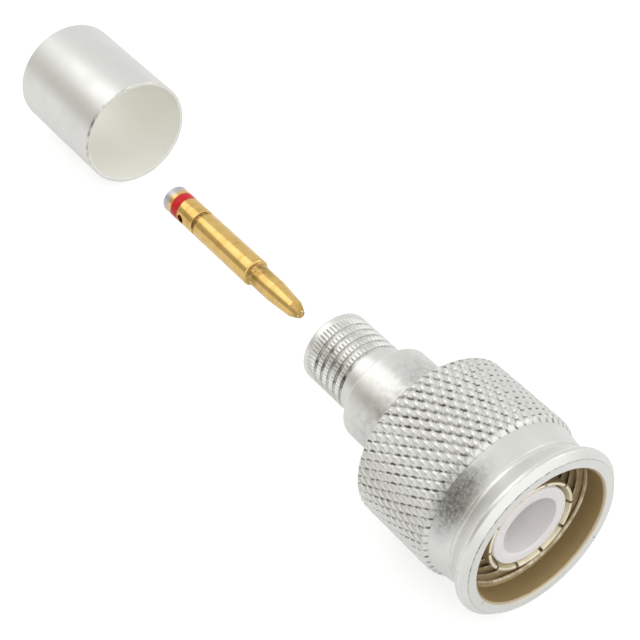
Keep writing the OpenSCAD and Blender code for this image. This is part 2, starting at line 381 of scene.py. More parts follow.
@dataclass
class Graph:
    """Builds nodes in one tree with short calls.

    Attributes:
        tree: The tree to build in.
    """

    tree: bpy.types.NodeTree

    def add(self, kind: str, **settings: object) -> Node:
        """Adds a node.

        Args:
            kind: Blender's name for the type of node.
            settings: Values of its properties.

        Returns:
            The node.
        """
        node = self.tree.nodes.new(kind)
        for name, value in settings.items():
            setattr(node, name, value)
        return node

    def feed(self, socket: Socket, value: Value) -> None:
        """Links a socket to another one, or sets its value.

        Args:
            socket: The socket that takes the value.
            value: Another node's socket, a number, a vector or a colour.
        """
        if isinstance(value, Socket):
            self.tree.links.new(value, socket)
        elif isinstance(value, (tuple, list)) and len(value) == 3 and socket.type == "RGBA":
            socket.default_value = (*value, 1.0)
        else:
            socket.default_value = value

    def math(self, operation: str, a: Value, b: Value = 0.0, c: Value = 0.0, clamp: bool = False) -> Socket:
        """Adds a math node.

        Args:
            operation: What the node works out.
            a: Its first value.
            b: Its second value.
            c: Its third value.
            clamp: Whether the result is kept from 0 to 1.

        Returns:
            The result.
        """
        node = self.add("ShaderNodeMath", operation=operation, use_clamp=clamp)
        for socket, value in zip(node.inputs, (a, b, c)):
            self.feed(socket, value)
        return node.outputs[0]

    def vector(self, operation: str, a: Value, b: Value = (0.0, 0.0, 0.0), scale: Value = 1.0) -> Node:
        """Adds a vector math node.

        Args:
            operation: What the node works out.
            a: Its first vector.
            b: Its second vector.
            scale: Its factor.

        Returns:
            The node, because its result may be a vector or a number.
        """
        node = self.add("ShaderNodeVectorMath", operation=operation)
        for socket, value in zip((node.inputs[0], node.inputs[1], node.inputs[3]), (a, b, scale)):
            self.feed(socket, value)
        return node

    def blend(self, factor: Value, a: Value, b: Value) -> Socket:
        """Adds a colour mix.

        Args:
            factor: How much of the second colour there is.
            a: The first colour.
            b: The second colour.

        Returns:
            The mixed colour.
        """
        node = self.add("ShaderNodeMix", data_type="RGBA")
        for socket, value in zip((node.inputs[0], node.inputs[6], node.inputs[7]), (factor, a, b)):
            self.feed(socket, value)
        return node.outputs[2]

    def remap(self, value: Value, span: Span, to_span: Span = (0.0, 1.0), smooth: bool = False) -> Socket:
        """Adds a map range.

        Args:
            value: The value to map.
            span: Where the value starts and ends.
            to_span: Where the result starts and ends.
            smooth: Whether the ramp eases in and out.

        Returns:
            The result.
        """
        node = self.add("ShaderNodeMapRange", interpolation_type="SMOOTHSTEP" if smooth else "LINEAR")
        for socket, number in zip(node.inputs, (value, *span, *to_span)):
            self.feed(socket, number)
        return node.outputs[0]

    def fall(self, value: Value, span: Span, smooth: bool = False) -> Socket:
        """Returns 1 up to the start of a span and 0 from its end."""
        return self.remap(value, span, (1.0, 0.0), smooth)

    def noise(self, vector: Value, scale: float = 1.0, detail: float = 3.0,
              roughness: float = 0.55) -> Socket:
        """Adds a noise texture.

        Args:
            vector: The point to look up.
            scale: How many features there are in a unit of length.
            detail: How many finer layers there are.
            roughness: How strong the finer layers are.

        Returns:
            The noise, about 0.5 in the middle.
        """
        node = self.add("ShaderNodeTexNoise")
        given = {"Vector": vector, "Scale": scale, "Detail": detail, "Roughness": roughness}
        for name, value in given.items():
            self.feed(node.inputs[name], value)
        return node.outputs[0]

    def place(self) -> Socket:
        """Returns the point on the piece in millimetres, in the frame at rest."""
        coordinates = self.add("ShaderNodeTexCoord").outputs["Object"]
        return self.vector("SCALE", coordinates, scale=1 / MM).outputs[0]

    def axial(self, point: Value) -> Socket:
        """Splits off how far along the connector axis a point is.

        Args:
            point: The point.

        Returns:
            Its distance along X.
        """
        axes = self.add("ShaderNodeSeparateXYZ")
        self.feed(axes.inputs[0], point)
        return axes.outputs[0]

    def away(self, radius: float, station: float, angle_deg: float, reach: Sequence[float]) -> Socket:
        """Measures how far each point of the piece is from one spot on it.

        Args:
            radius: Distance of the spot from the axis.
            station: Station of the spot.
            angle_deg: Angle of the spot round the axis.
            reach: What counts as 1 along the axis, away from it and round it.

        Returns:
            The distance, 0 at the spot.
        """
        angle = math.radians(angle_deg)
        spin = self.add("ShaderNodeMapping", vector_type="TEXTURE")
        self.feed(spin.inputs["Vector"], self.place())
        self.feed(spin.inputs["Location"], (-station, radius * math.cos(angle), radius * math.sin(angle)))
        self.feed(spin.inputs["Rotation"], (angle, 0.0, 0.0))
        self.feed(spin.inputs["Scale"], reach)
        return self.vector("LENGTH", spin.outputs[0]).outputs["Value"]

    def mark(self, mark: Mark) -> Socket:
        """Returns a mark of the mesh as a number."""
        return self.add("ShaderNodeAttribute", attribute_name=mark.value).outputs["Fac"]

    def bump(self, height: Value) -> Socket:
        """Adds a bump.

        Args:
            height: Height of the surface in millimetres.

        Returns:
            The bumped normal.
        """
        node = self.add("ShaderNodeBump")
        for name, value in {"Strength": 1.0, "Distance": MM, "Height": height}.items():
            self.feed(node.inputs[name], value)
        return node.outputs[0]


class Effect(ABC):
    """A shader node group that several finishes share; it is built the first time that one places it.

    Attributes:
        name: Name of the group.
        inlets: Its named inputs, with the value that each has where a finish doesn't set it.
        outlets: Its named outputs.
    """

    name: str
    inlets: dict[str, float]
    outlets: tuple[str, ...]

    @abstractmethod
    def build(self, graph: Graph, inlet: Node, outlet: Node) -> None:
        """Fills the group.

        Args:
            graph: The group's nodes.
            inlet: The node that brings the inputs in.
            outlet: The node that takes the outputs out.
        """

    def group(self) -> bpy.types.NodeTree:
        """Finds the node group, or builds it.

        Returns:
            The group.
        """
        found = bpy.data.node_groups.get(self.name)
        if found:
            return found
        tree = bpy.data.node_groups.new(self.name, "ShaderNodeTree")
        for name, value in self.inlets.items():
            socket = tree.interface.new_socket(name=name, in_out="INPUT", socket_type="NodeSocketFloat")
            socket.default_value = value
        for name in self.outlets:
            tree.interface.new_socket(name=name, in_out="OUTPUT", socket_type="NodeSocketFloat")
        graph = Graph(tree)
        self.build(graph, graph.add("NodeGroupInput"), graph.add("NodeGroupOutput"))
        return tree

    def put(self, graph: Graph, **values: float) -> bpy.types.NodeOutputs:
        """Places the group in a material.

        Args:
            graph: The material's nodes.
            values: The inputs that the material sets.

        Returns:
            The group's outputs, by name.
        """
        node = graph.add("ShaderNodeGroup")
        node.node_tree = self.group()
        for name, value in values.items():
            graph.feed(node.inputs[name], value)
        return node.outputs


class ToolMarks(Effect):
    """Fine rings that a turning tool leaves round the axis, on walls and on faces alike.

    Attributes:
        broad_share: How many broad rings there are for each fine one.
    """

    name = "tool_marks"
    inlets = {"Pitch": 0.12, "Waver": 0.35}
    outlets = ("Height", "Broad")
    broad_share = 0.12

    def build(self, graph: Graph, inlet: Node, outlet: Node) -> None:
        """Fills the group: noise along the tool's path, drawn out round the axis.

        Args:
            graph: The group's nodes.
            inlet: Brings Pitch, the spacing of the rings, and Waver, how much they vary round the axis.
            outlet: Takes Height and Broad, the fine and the broad rings.
        """
        place = graph.place()
        across = graph.vector("MULTIPLY", place, (0.0, 1.0, 1.0)).outputs[0]
        radius = graph.vector("LENGTH", across).outputs["Value"]
        path = graph.math("ADD", graph.axial(place), radius)
        unit = graph.vector("NORMALIZE", across).outputs[0]
        drift = graph.vector("SCALE", unit, scale=inlet.outputs["Waver"]).outputs[0]
        spot = graph.add("ShaderNodeCombineXYZ")
        graph.feed(spot.inputs[0], graph.math("DIVIDE", path, inlet.outputs["Pitch"]))
        sample = graph.vector("ADD", spot.outputs[0], drift).outputs[0]
        graph.feed(outlet.inputs["Height"], graph.noise(sample, detail=2.0))
        wide = graph.vector("MULTIPLY", sample, (self.broad_share, 1.0, 1.0)).outputs[0]
        graph.feed(outlet.inputs["Broad"], graph.noise(wide))


class Clouds(Effect):
    """Soft cloudy patches of a plated or moulded surface, with a fine grain over them.

    Attributes:
        patch_span: The noise where a patch starts and where it is full.
    """

    name = "clouds"
    inlets = {"Size": 3.0, "Grain": 0.08}
    outlets = ("Patch", "Grain")
    patch_span: Span = (0.3, 0.7)

    def build(self, graph: Graph, inlet: Node, outlet: Node) -> None:
        """Fills the group: one slow noise and one fine one.

        Args:
            graph: The group's nodes.
            inlet: Brings Size and Grain, the sizes of the patches and of the grain.
            outlet: Takes Patch and Grain, how strong each is.
        """
        place = graph.place()
        slow, fine = (
            graph.vector("SCALE", place, scale=graph.math("DIVIDE", 1.0, inlet.outputs[name])).outputs[0]
            for name in ("Size", "Grain")
        )
        patch = graph.remap(graph.noise(slow, detail=4.0), self.patch_span, smooth=True)
        graph.feed(outlet.inputs["Patch"], patch)
        graph.feed(outlet.inputs["Grain"], graph.noise(fine, detail=2.0))


class Scratches(Effect):
    """Sparse hairlines at two angles, where parts have rubbed against each other in a bag.

    Attributes:
        turns: Rotations of the two families of lines, in radians.
        stretch: Scale of the cells, which are drawn out along Y.
        bend_scale: Scale of the noise that bends the lines.
        line_span: Distance from a cell's border over which a line fades.
        kept_scale: Scale of the noise that keeps a line in some places only.
        kept_span: The noise where a line starts to show and where it shows in full.
    """

    name = "scratches"
    inlets = {"Amount": 0.5, "Spacing": 2.4}
    outlets = ("Mask",)
    turns = ((0.35, 0.2, 0.7), (-0.5, 0.9, -0.3))
    stretch = (1.0, 0.09, 1.0)
    bend_scale = 0.35
    line_span: Span = (0.0, 0.006)
    kept_scale = 0.9
    kept_span: Span = (0.56, 0.66)

    def build(self, graph: Graph, inlet: Node, outlet: Node) -> None:
        """Fills the group: stretched cells whose borders are kept only in places.

        Args:
            graph: The group's nodes.
            inlet: Brings Amount, the strength of the lines, and Spacing, the size of the cells.
            outlet: Takes Mask, 1 on a line and 0 off it.
        """
        place = graph.place()
        total: Value = 0.0
        for turn in self.turns:
            spin = graph.add("ShaderNodeMapping")
            for name, value in {"Vector": place, "Rotation": turn, "Scale": self.stretch}.items():
                graph.feed(spin.inputs[name], value)
            cell = graph.add("ShaderNodeTexVoronoi", feature="DISTANCE_TO_EDGE")
            bent = graph.noise(place, scale=self.bend_scale, detail=1.0)
            graph.feed(cell.inputs["Vector"], graph.vector("ADD", spin.outputs[0], bent).outputs[0])
            graph.feed(cell.inputs["Scale"], graph.math("DIVIDE", 1.0, inlet.outputs["Spacing"]))
            line = graph.fall(cell.outputs["Distance"], self.line_span)
            places = graph.noise(spin.outputs[0], scale=self.kept_scale, detail=2.0)
            kept = graph.remap(places, self.kept_span)
            total = graph.math("MAXIMUM", total, graph.math("MULTIPLY", line, kept))
        graph.feed(outlet.inputs["Mask"], graph.math("MULTIPLY", total, inlet.outputs["Amount"]))


class EdgeWearAndShade(Effect):
    """Where edges are worn bright, with painted glints on a thread's crests, and where grooves get painted
    shade, from the marks in the mesh.

    Attributes:
        break_scale: Scale of the noise that breaks the marks up.
        break_span: The noise where an edge starts to shine and where it shines in full.
        shade_cover: How much painted shade there is where the edges are not bright.
    """

    name = "edge_wear_and_shade"
    inlets = {"Wear": 0.7, "Film": 0.6}
    outlets = ("Bright", "GrooveShade")
    break_scale = 1.3
    break_span: Span = (0.35, 0.62)
    shade_cover = 1.35

    def build(self, graph: Graph, inlet: Node, outlet: Node) -> None:
        """Fills the group: the marks, broken up by noise.

        Args:
            graph: The group's nodes.
            inlet: Brings Wear and Film, the strength of the worn edges and of the painted shade.
            outlet: Takes Bright and GrooveShade, where an edge is bright and where a groove gets painted
                shade.
        """
        broken = graph.remap(graph.noise(graph.place(), scale=self.break_scale), self.break_span)
        bright = graph.math("MULTIPLY", graph.mark(Mark.EDGE), broken)
        graph.feed(outlet.inputs["Bright"], graph.math("MULTIPLY", bright, inlet.outputs["Wear"]))
        # Painted shade: the groove mark, broken up by noise, sets where the shade colour goes
        groove_shade = graph.math("MULTIPLY", graph.mark(Mark.GROOVE), inlet.outputs["Film"])
        cover = graph.math("SUBTRACT", self.shade_cover, broken)
        graph.feed(outlet.inputs["GrooveShade"], graph.math("MULTIPLY", groove_shade, cover, clamp=True))


@dataclass(frozen=True)
class Nick:
    """A small dent on the flange's front face, at a place that the photograph shows.

    Attributes:
        radius: Its distance from the axis.
        angle_deg: Its angle round the axis.
        length: How far it reaches away from the axis.
        width: How far it reaches round the axis.
        core: Share of its reach that is flat bottom.
    """

    radius: float
    angle_deg: float
    length: float
    width: float
    core: float = 0.35

    def mask(self, graph: Graph) -> Socket:
        """Returns 1 inside the dent, falling to 0 at its rim."""
        away = graph.away(self.radius, 0.0, self.angle_deg, (self.length, self.length, self.width))
        return graph.fall(away, (self.core, 1.0), smooth=True)


@dataclass(frozen=True)
class DarkPatch:
    """A dark mottled patch on the plating, at a place that the photograph shows.

    Attributes:
        radius: Its distance from the axis.
        station: Its station.
        angle_deg: Its angle round the axis.
        length: How far it reaches along the axis.
        width: How far it reaches round the axis.
        colour: Its colour.
        core: Share of its reach that is dark in full.
        mottle_span: The noise where a darker spot starts and where it is full.
        depth: How strong the patch is between the darker spots.
        mottle_depth: How much stronger it is in them.
    """

    radius: float
    station: float
    angle_deg: float
    length: float
    width: float
    colour: Rgb = (0.16, 0.16, 0.15)
    core: float = 0.25
    mottle_span: Span = (0.36, 0.62)
    depth: float = 0.42
    mottle_depth: float = 0.5

    def mask(self, graph: Graph) -> Socket:
        """Builds the patch's strength.

        Args:
            graph: The material's nodes.

        Returns:
            How dark the patch is at each point.
        """
        away = graph.away(self.radius, self.station, self.angle_deg, (self.length, self.width, self.width))
        soft = graph.fall(away, (self.core, 1.0), smooth=True)
        spots = graph.noise(graph.place(), scale=2.6, detail=5.0, roughness=0.7)
        mottled = graph.remap(spots, self.mottle_span)
        strength = graph.math("MULTIPLY_ADD", mottled, self.mottle_depth, self.depth)
        return graph.math("MULTIPLY", soft, strength)


class Finish(ABC):
    """A finish: the base of all the pieces' materials.

    Attributes:
        name: Name of the material.
    """

    name: str

    @abstractmethod
    def dress(self, graph: Graph, shader: Node) -> None:
        """Feeds the shader.

        Args:
            graph: The material's nodes.
            shader: Its Principled BSDF.
        """

    def material(self) -> bpy.types.Material:
        """Finds the material, or builds it.

        Returns:
            The material.
        """
        found = bpy.data.materials.get(self.name)
        if found:
            return found
        material = bpy.data.materials.new(self.name)
        material.use_nodes = True
        tree = material.node_tree
        tree.nodes.clear()
        graph = Graph(tree)
        shader = graph.add("ShaderNodeBsdfPrincipled")
        graph.feed(graph.add("ShaderNodeOutputMaterial").inputs[0], shader.outputs[0])
        self.dress(graph, shader)
        return material


@dataclass(frozen=True)
class PlatedMetal(Finish):
    """Plated brass: satin, with tool rings, clouds, hairlines, bright edges and painted shade in its
    grooves.

    Attributes:
        name: Name of the material.
        colour: Colour of the plating.
        cloud: Colour that the clouds lean to.
        bore: Colour inside the bores.
        painted_shade: Colour of the painted shade in the grooves and dents.
        bright_edge: Colour of the worn edges, and of the painted glints on a thread's crests.
        roughness: Roughness of the plating outside.
        bore_roughness: Roughness inside the bores.
        bore_metal: How metallic the bores look.
        cloud_share: How far the clouds take the plating to their colour.
        cloud_rough: How much rougher the clouds are.
        ring_rough: How much rougher the broad tool rings are.
        rough_drop: How much smoother the plating is where it has neither.
        shade_share: How much of the grooves the painted shade covers.
        ring_pitch: Spacing of the tool rings.
        ring_depth: Depth of the tool rings.
        grain_depth: Depth of the fine grain.
        scratches: Strength of the hairlines.
        scratch_rough: How much rougher the hairlines are.
        scratch_depth: Depth of the hairlines.
        nicks: Dents on the surface.
        nick_depth: Depth of the dents.
        nick_shade: How much painted shade the dents hold.
        dark_patches: Dark mottled patches on the surface.
    """

    name: str
    colour: Rgb
    cloud: Rgb
    bore: Rgb
    painted_shade: Rgb
    bright_edge: Rgb = (0.97, 0.96, 0.93)
    roughness: float = 0.34
    bore_roughness: float = 0.26
    bore_metal: float = 1.0
    cloud_share: float = 0.7
    cloud_rough: float = 0.07
    ring_rough: float = 0.08
    rough_drop: float = 0.07
    shade_share: float = 0.6
    ring_pitch: float = 0.1
    ring_depth: float = 0.0016
    grain_depth: float = 0.0012
    scratches: float = 0.6
    scratch_rough: float = 0.12
    scratch_depth: float = 0.0012
    nicks: tuple[Nick, ...] = ()
    nick_depth: float = 0.06
    nick_shade: float = 0.55
    dark_patches: tuple[DarkPatch, ...] = ()

    def dress(self, graph: Graph, shader: Node) -> None:
        """Feeds the shader with the plating.

        Args:
            graph: The material's nodes.
            shader: Its Principled BSDF.
        """
        rings = ToolMarks().put(graph, Pitch=self.ring_pitch)
        clouds = Clouds().put(graph)
        lines = Scratches().put(graph, Amount=self.scratches)
        edges = EdgeWearAndShade().put(graph, Film=self.shade_share)
        inside = graph.mark(Mark.BORE)

        patch = graph.math("MULTIPLY", clouds["Patch"], self.cloud_share)
        colour = graph.blend(patch, self.colour, self.cloud)
        colour = graph.blend(inside, colour, self.bore)
        # Painted shade in the grooves, then bright edges: worn, and painted glints on a thread's crests
        colour = graph.blend(edges["GrooveShade"], colour, self.painted_shade)
        colour = graph.blend(edges["Bright"], colour, self.bright_edge)

        low = self.roughness - self.rough_drop
        rough = graph.math("MULTIPLY_ADD", clouds["Patch"], self.cloud_rough, low)
        rough = graph.math("MULTIPLY_ADD", rings["Broad"], self.ring_rough, rough)
        rough = graph.math("MULTIPLY_ADD", inside, self.bore_roughness - self.roughness, rough)
        rough = graph.math("MULTIPLY_ADD", lines["Mask"], self.scratch_rough, rough, clamp=True)

        height = graph.math("MULTIPLY", rings["Height"], self.ring_depth)
        height = graph.math("MULTIPLY_ADD", clouds["Grain"], self.grain_depth, height)
        height = graph.math("MULTIPLY_ADD", lines["Mask"], -self.scratch_depth, height)

        for nick in self.nicks:
            dent = nick.mask(graph)
            height = graph.math("MULTIPLY_ADD", dent, -self.nick_depth, height)
            # Painted shade in the dent
            colour = graph.blend(graph.math("MULTIPLY", dent, self.nick_shade), colour, self.painted_shade)
        # Each dark patch darkens a mottled area towards its own colour
        for dark_patch in self.dark_patches:
            colour = graph.blend(dark_patch.mask(graph), colour, dark_patch.colour)

        metal = graph.math("MULTIPLY_ADD", inside, self.bore_metal - 1.0, 1.0)
        graph.feed(shader.inputs["Base Color"], colour)
        graph.feed(shader.inputs["Metallic"], graph.math("MAXIMUM", metal, edges["Bright"]))
        graph.feed(shader.inputs["Roughness"], rough)
        graph.feed(shader.inputs["Normal"], graph.bump(height))


@dataclass(frozen=True)
class GoldContact(Finish):
    """Gold plate with a red band painted round it and a tinned back end.

    Attributes:
        name: Name of the material.
        rear: Station of the contact's back end.
        gold: Colour of the gold.
        deep: Deeper gold of the clouds and rings.
        painted_shade: Colour of the painted shade in the grooves, at the tip and at the cup's bottom.
        bright_edge: Colour of the worn edges.
        red: Colour of the painted band.
        light_red: Colour that the band's clouds lean to.
        tin: Colour of the tinned end.
        band: Distances of the band's two edges from the back end.
        band_soft: Half-width of each edge.
        tin_fade: Distances from the back end where the tin starts to fade and where it ends.
        ragged: How far the band's and the tin's edges wander.
        deep_share: How far the clouds take the gold to its deeper colour.
        deep_span: Strength of the broad rings where the deeper gold starts and where it is full.
        shade_share: How much of the grooves the painted shade covers.
        wear: How much of the edges is rubbed.
        ring_pitch: Spacing of the tool rings.
        cloud_size: Size of the clouds.
        roughness: Roughness of the gold.
        ring_rough: How much rougher the broad tool rings are.
        tin_rough: How much rougher the tin is.
        band_rough: How much rougher the paint is.
        ring_depth: Depth of the tool rings.
        band_depth: Thickness of the paint.
        tin_depth: Depth of the tin's grain.
        shine: Specular level of the paint.
    """

    name: str
    rear: float
    gold: Rgb = (0.80, 0.55, 0.20)
    deep: Rgb = (0.60, 0.36, 0.09)
    painted_shade: Rgb = (0.22, 0.12, 0.03)
    bright_edge: Rgb = (0.98, 0.84, 0.5)
    red: Rgb = (0.58, 0.006, 0.01)
    light_red: Rgb = (0.68, 0.015, 0.018)
    tin: Rgb = (0.56, 0.56, 0.60)
    band: Span = (1.7, 3.15)
    band_soft: float = 0.05
    tin_fade: Span = (0.55, 1.5)
    ragged: float = 0.5
    deep_share: float = 0.8
    deep_span: Span = (0.35, 0.65)
    shade_share: float = 0.8
    wear: float = 0.5
    ring_pitch: float = 0.07
    cloud_size: float = 1.6
    roughness: float = 0.17
    ring_rough: float = 0.1
    tin_rough: float = 0.2
    band_rough: float = 0.14
    ring_depth: float = 0.0028
    band_depth: float = 0.015
    tin_depth: float = 0.006
    shine: float = 0.25

    def dress(self, graph: Graph, shader: Node) -> None:
        """Feeds the shader with the gold, the band and the tin.

        Args:
            graph: The material's nodes.
            shader: Its Principled BSDF.
        """
        place = graph.place()
        wander = graph.math("MULTIPLY_ADD", graph.noise(place, scale=0.8), self.ragged, -self.ragged / 2)
        from_rear = graph.math("ADD", graph.math("ADD", graph.axial(place), self.rear), wander)
        outside = graph.math("SUBTRACT", 1.0, graph.mark(Mark.BORE))
        back, front = ((edge - self.band_soft, edge + self.band_soft) for edge in self.band)
        band = graph.math("MULTIPLY", graph.remap(from_rear, back), graph.fall(from_rear, front))
        band = graph.math("MULTIPLY", band, outside)
        tin = graph.math("MULTIPLY", graph.fall(from_rear, self.tin_fade, smooth=True), outside)

        rings = ToolMarks().put(graph, Pitch=self.ring_pitch)
        clouds = Clouds().put(graph, Size=self.cloud_size)
        edges = EdgeWearAndShade().put(graph, Wear=self.wear, Film=self.shade_share)

        deeper = graph.math("MULTIPLY", graph.remap(rings["Broad"], self.deep_span), clouds["Patch"])
        colour = graph.blend(graph.math("MULTIPLY", deeper, self.deep_share), self.gold, self.deep)
        # Painted shade in the grooves, then the worn edges
        colour = graph.blend(edges["GrooveShade"], colour, self.painted_shade)
        colour = graph.blend(edges["Bright"], colour, self.bright_edge)
        colour = graph.blend(tin, colour, self.tin)
        colour = graph.blend(band, colour, graph.blend(clouds["Patch"], self.red, self.light_red))

        low = self.roughness - self.ring_rough / 2
        rough = graph.math("MULTIPLY_ADD", rings["Broad"], self.ring_rough, low)
        rough = graph.math("MULTIPLY_ADD", tin, self.tin_rough, rough)
        rough = graph.math("MULTIPLY_ADD", band, self.band_rough, rough)

        height = graph.math("MULTIPLY", rings["Height"], self.ring_depth)
        height = graph.math("MULTIPLY_ADD", band, self.band_depth, height)
        tinned = graph.math("MULTIPLY", tin, clouds["Grain"])
        height = graph.math("MULTIPLY_ADD", tinned, self.tin_depth, height)

        graph.feed(shader.inputs["Base Color"], colour)
        graph.feed(shader.inputs["Metallic"], graph.math("SUBTRACT", 1.0, band))
        graph.feed(shader.inputs["Specular IOR Level"], self.shine)
        graph.feed(shader.inputs["Roughness"], rough)
        graph.feed(shader.inputs["Normal"], graph.bump(height))


@dataclass(frozen=True)
class Moulding(Finish):
    """A turned polymer or rubber: soft clouds, faint tool rings and some light let in.

    Attributes:
        name: Name of the material.
        colour: Its colour.
        shade: The colour that its clouds lean to.
        roughness: Its roughness.
        glow: How much light enters and leaves again.
        ring_depth: Depth of the tool rings.
        ring_pitch: Spacing of the tool rings.
        ring_rough: How much rougher the broad tool rings are.
        cloud_size: Size of the clouds.
        cloud_share: How far the clouds take it to their colour.
        grain_size: Size of the grain.
        grain_depth: Depth of the grain.
        light_reach: How far light travels inside.
        light_tint: Share of that for red, green and blue light.
    """

    name: str
    colour: Rgb
    shade: Rgb
    roughness: float
    glow: float = 0.0
    ring_depth: float = 0.002
    ring_pitch: float = 0.16
    ring_rough: float = 0.1
    cloud_size: float = 2.2
    cloud_share: float = 0.6
    grain_size: float = 0.05
    grain_depth: float = 0.001
    light_reach: float = 0.6
    light_tint: Rgb = (1.0, 0.9, 0.85)

    def dress(self, graph: Graph, shader: Node) -> None:
        """Feeds the shader with the moulded surface.

        Args:
            graph: The material's nodes.
            shader: Its Principled BSDF.
        """
        rings = ToolMarks().put(graph, Pitch=self.ring_pitch)
        clouds = Clouds().put(graph, Size=self.cloud_size, Grain=self.grain_size)
        patch = graph.math("MULTIPLY", clouds["Patch"], self.cloud_share)
        low = self.roughness - self.ring_rough / 2
        rough = graph.math("MULTIPLY_ADD", rings["Broad"], self.ring_rough, low)
        height = graph.math("MULTIPLY", rings["Height"], self.ring_depth)
        height = graph.math("MULTIPLY_ADD", clouds["Grain"], self.grain_depth, height)
        graph.feed(shader.inputs["Base Color"], graph.blend(patch, self.colour, self.shade))
        graph.feed(shader.inputs["Roughness"], rough)
        graph.feed(shader.inputs["Normal"], graph.bump(height))
        graph.feed(shader.inputs["Subsurface Weight"], self.glow)
        graph.feed(shader.inputs["Subsurface Radius"], self.light_tint)
        graph.feed(shader.inputs["Subsurface Scale"], self.light_reach * MM)


# Its painted_shade colour is near black: painted shade for grooves, creases and dents
SILVER = PlatedMetal("silver_plate", colour=(0.80, 0.80, 0.775), cloud=(0.77, 0.768, 0.735),
                     bore=(0.50, 0.37, 0.18), painted_shade=(0.10, 0.092, 0.078), bore_roughness=0.42,
                     bore_metal=0.45, shade_share=1.0)
WHITE_POLYMER = Moulding("white_fluoropolymer", colour=(0.97, 0.945, 0.94), shade=(0.95, 0.915, 0.905),
                         roughness=0.42, glow=0.35)


@dataclass
class Piece(ABC):
    """A piece of the plug that stands for one node of the frame.

    Attributes:
        name: Name of the piece.
        node: The node that it stands for.
        slot: The record's material slot; not used.
        body: The body that it rides on.
    """

    name: str
    node: str
    slot: str
    body: Body

    @abstractmethod
    def shape(self) -> bpy.types.Object:
        """Builds the piece's mesh at its place.

        Returns:
            The piece, without a material.
        """

    @abstractmethod
    def finish(self) -> Finish:
        """Returns the piece's finish."""

    def make(self) -> None:
        """Builds the piece, dresses it and ties it to the frame."""
        piece = self.shape()
        piece.data.materials.append(self.finish().material())
        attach(piece, self.body.value)
        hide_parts(self.node)
        piece.data.calc_loop_triangles()
        LOG.info("%s stands for %s: %d triangles", self.name, self.node, len(piece.data.loop_triangles))


@dataclass
class Tube(Piece):
    """A piece with the same closed section all the way round the axis.

    Attributes:
        columns: Points in each ring.
    """

    columns: int = 144

    @abstractmethod
    def section(self) -> list[Stop]:
        """Draws the section of the piece's wall.

        Returns:
            The points of its closed outline.
        """

    def shape(self) -> bpy.types.Object:
        """Builds the piece from its section.

        Returns:
            The piece, without a material.
        """
        turned = TurnedMesh()
        turned.turn_closed(self.section(), spread(self.columns))
        return turned.finish(self.name)


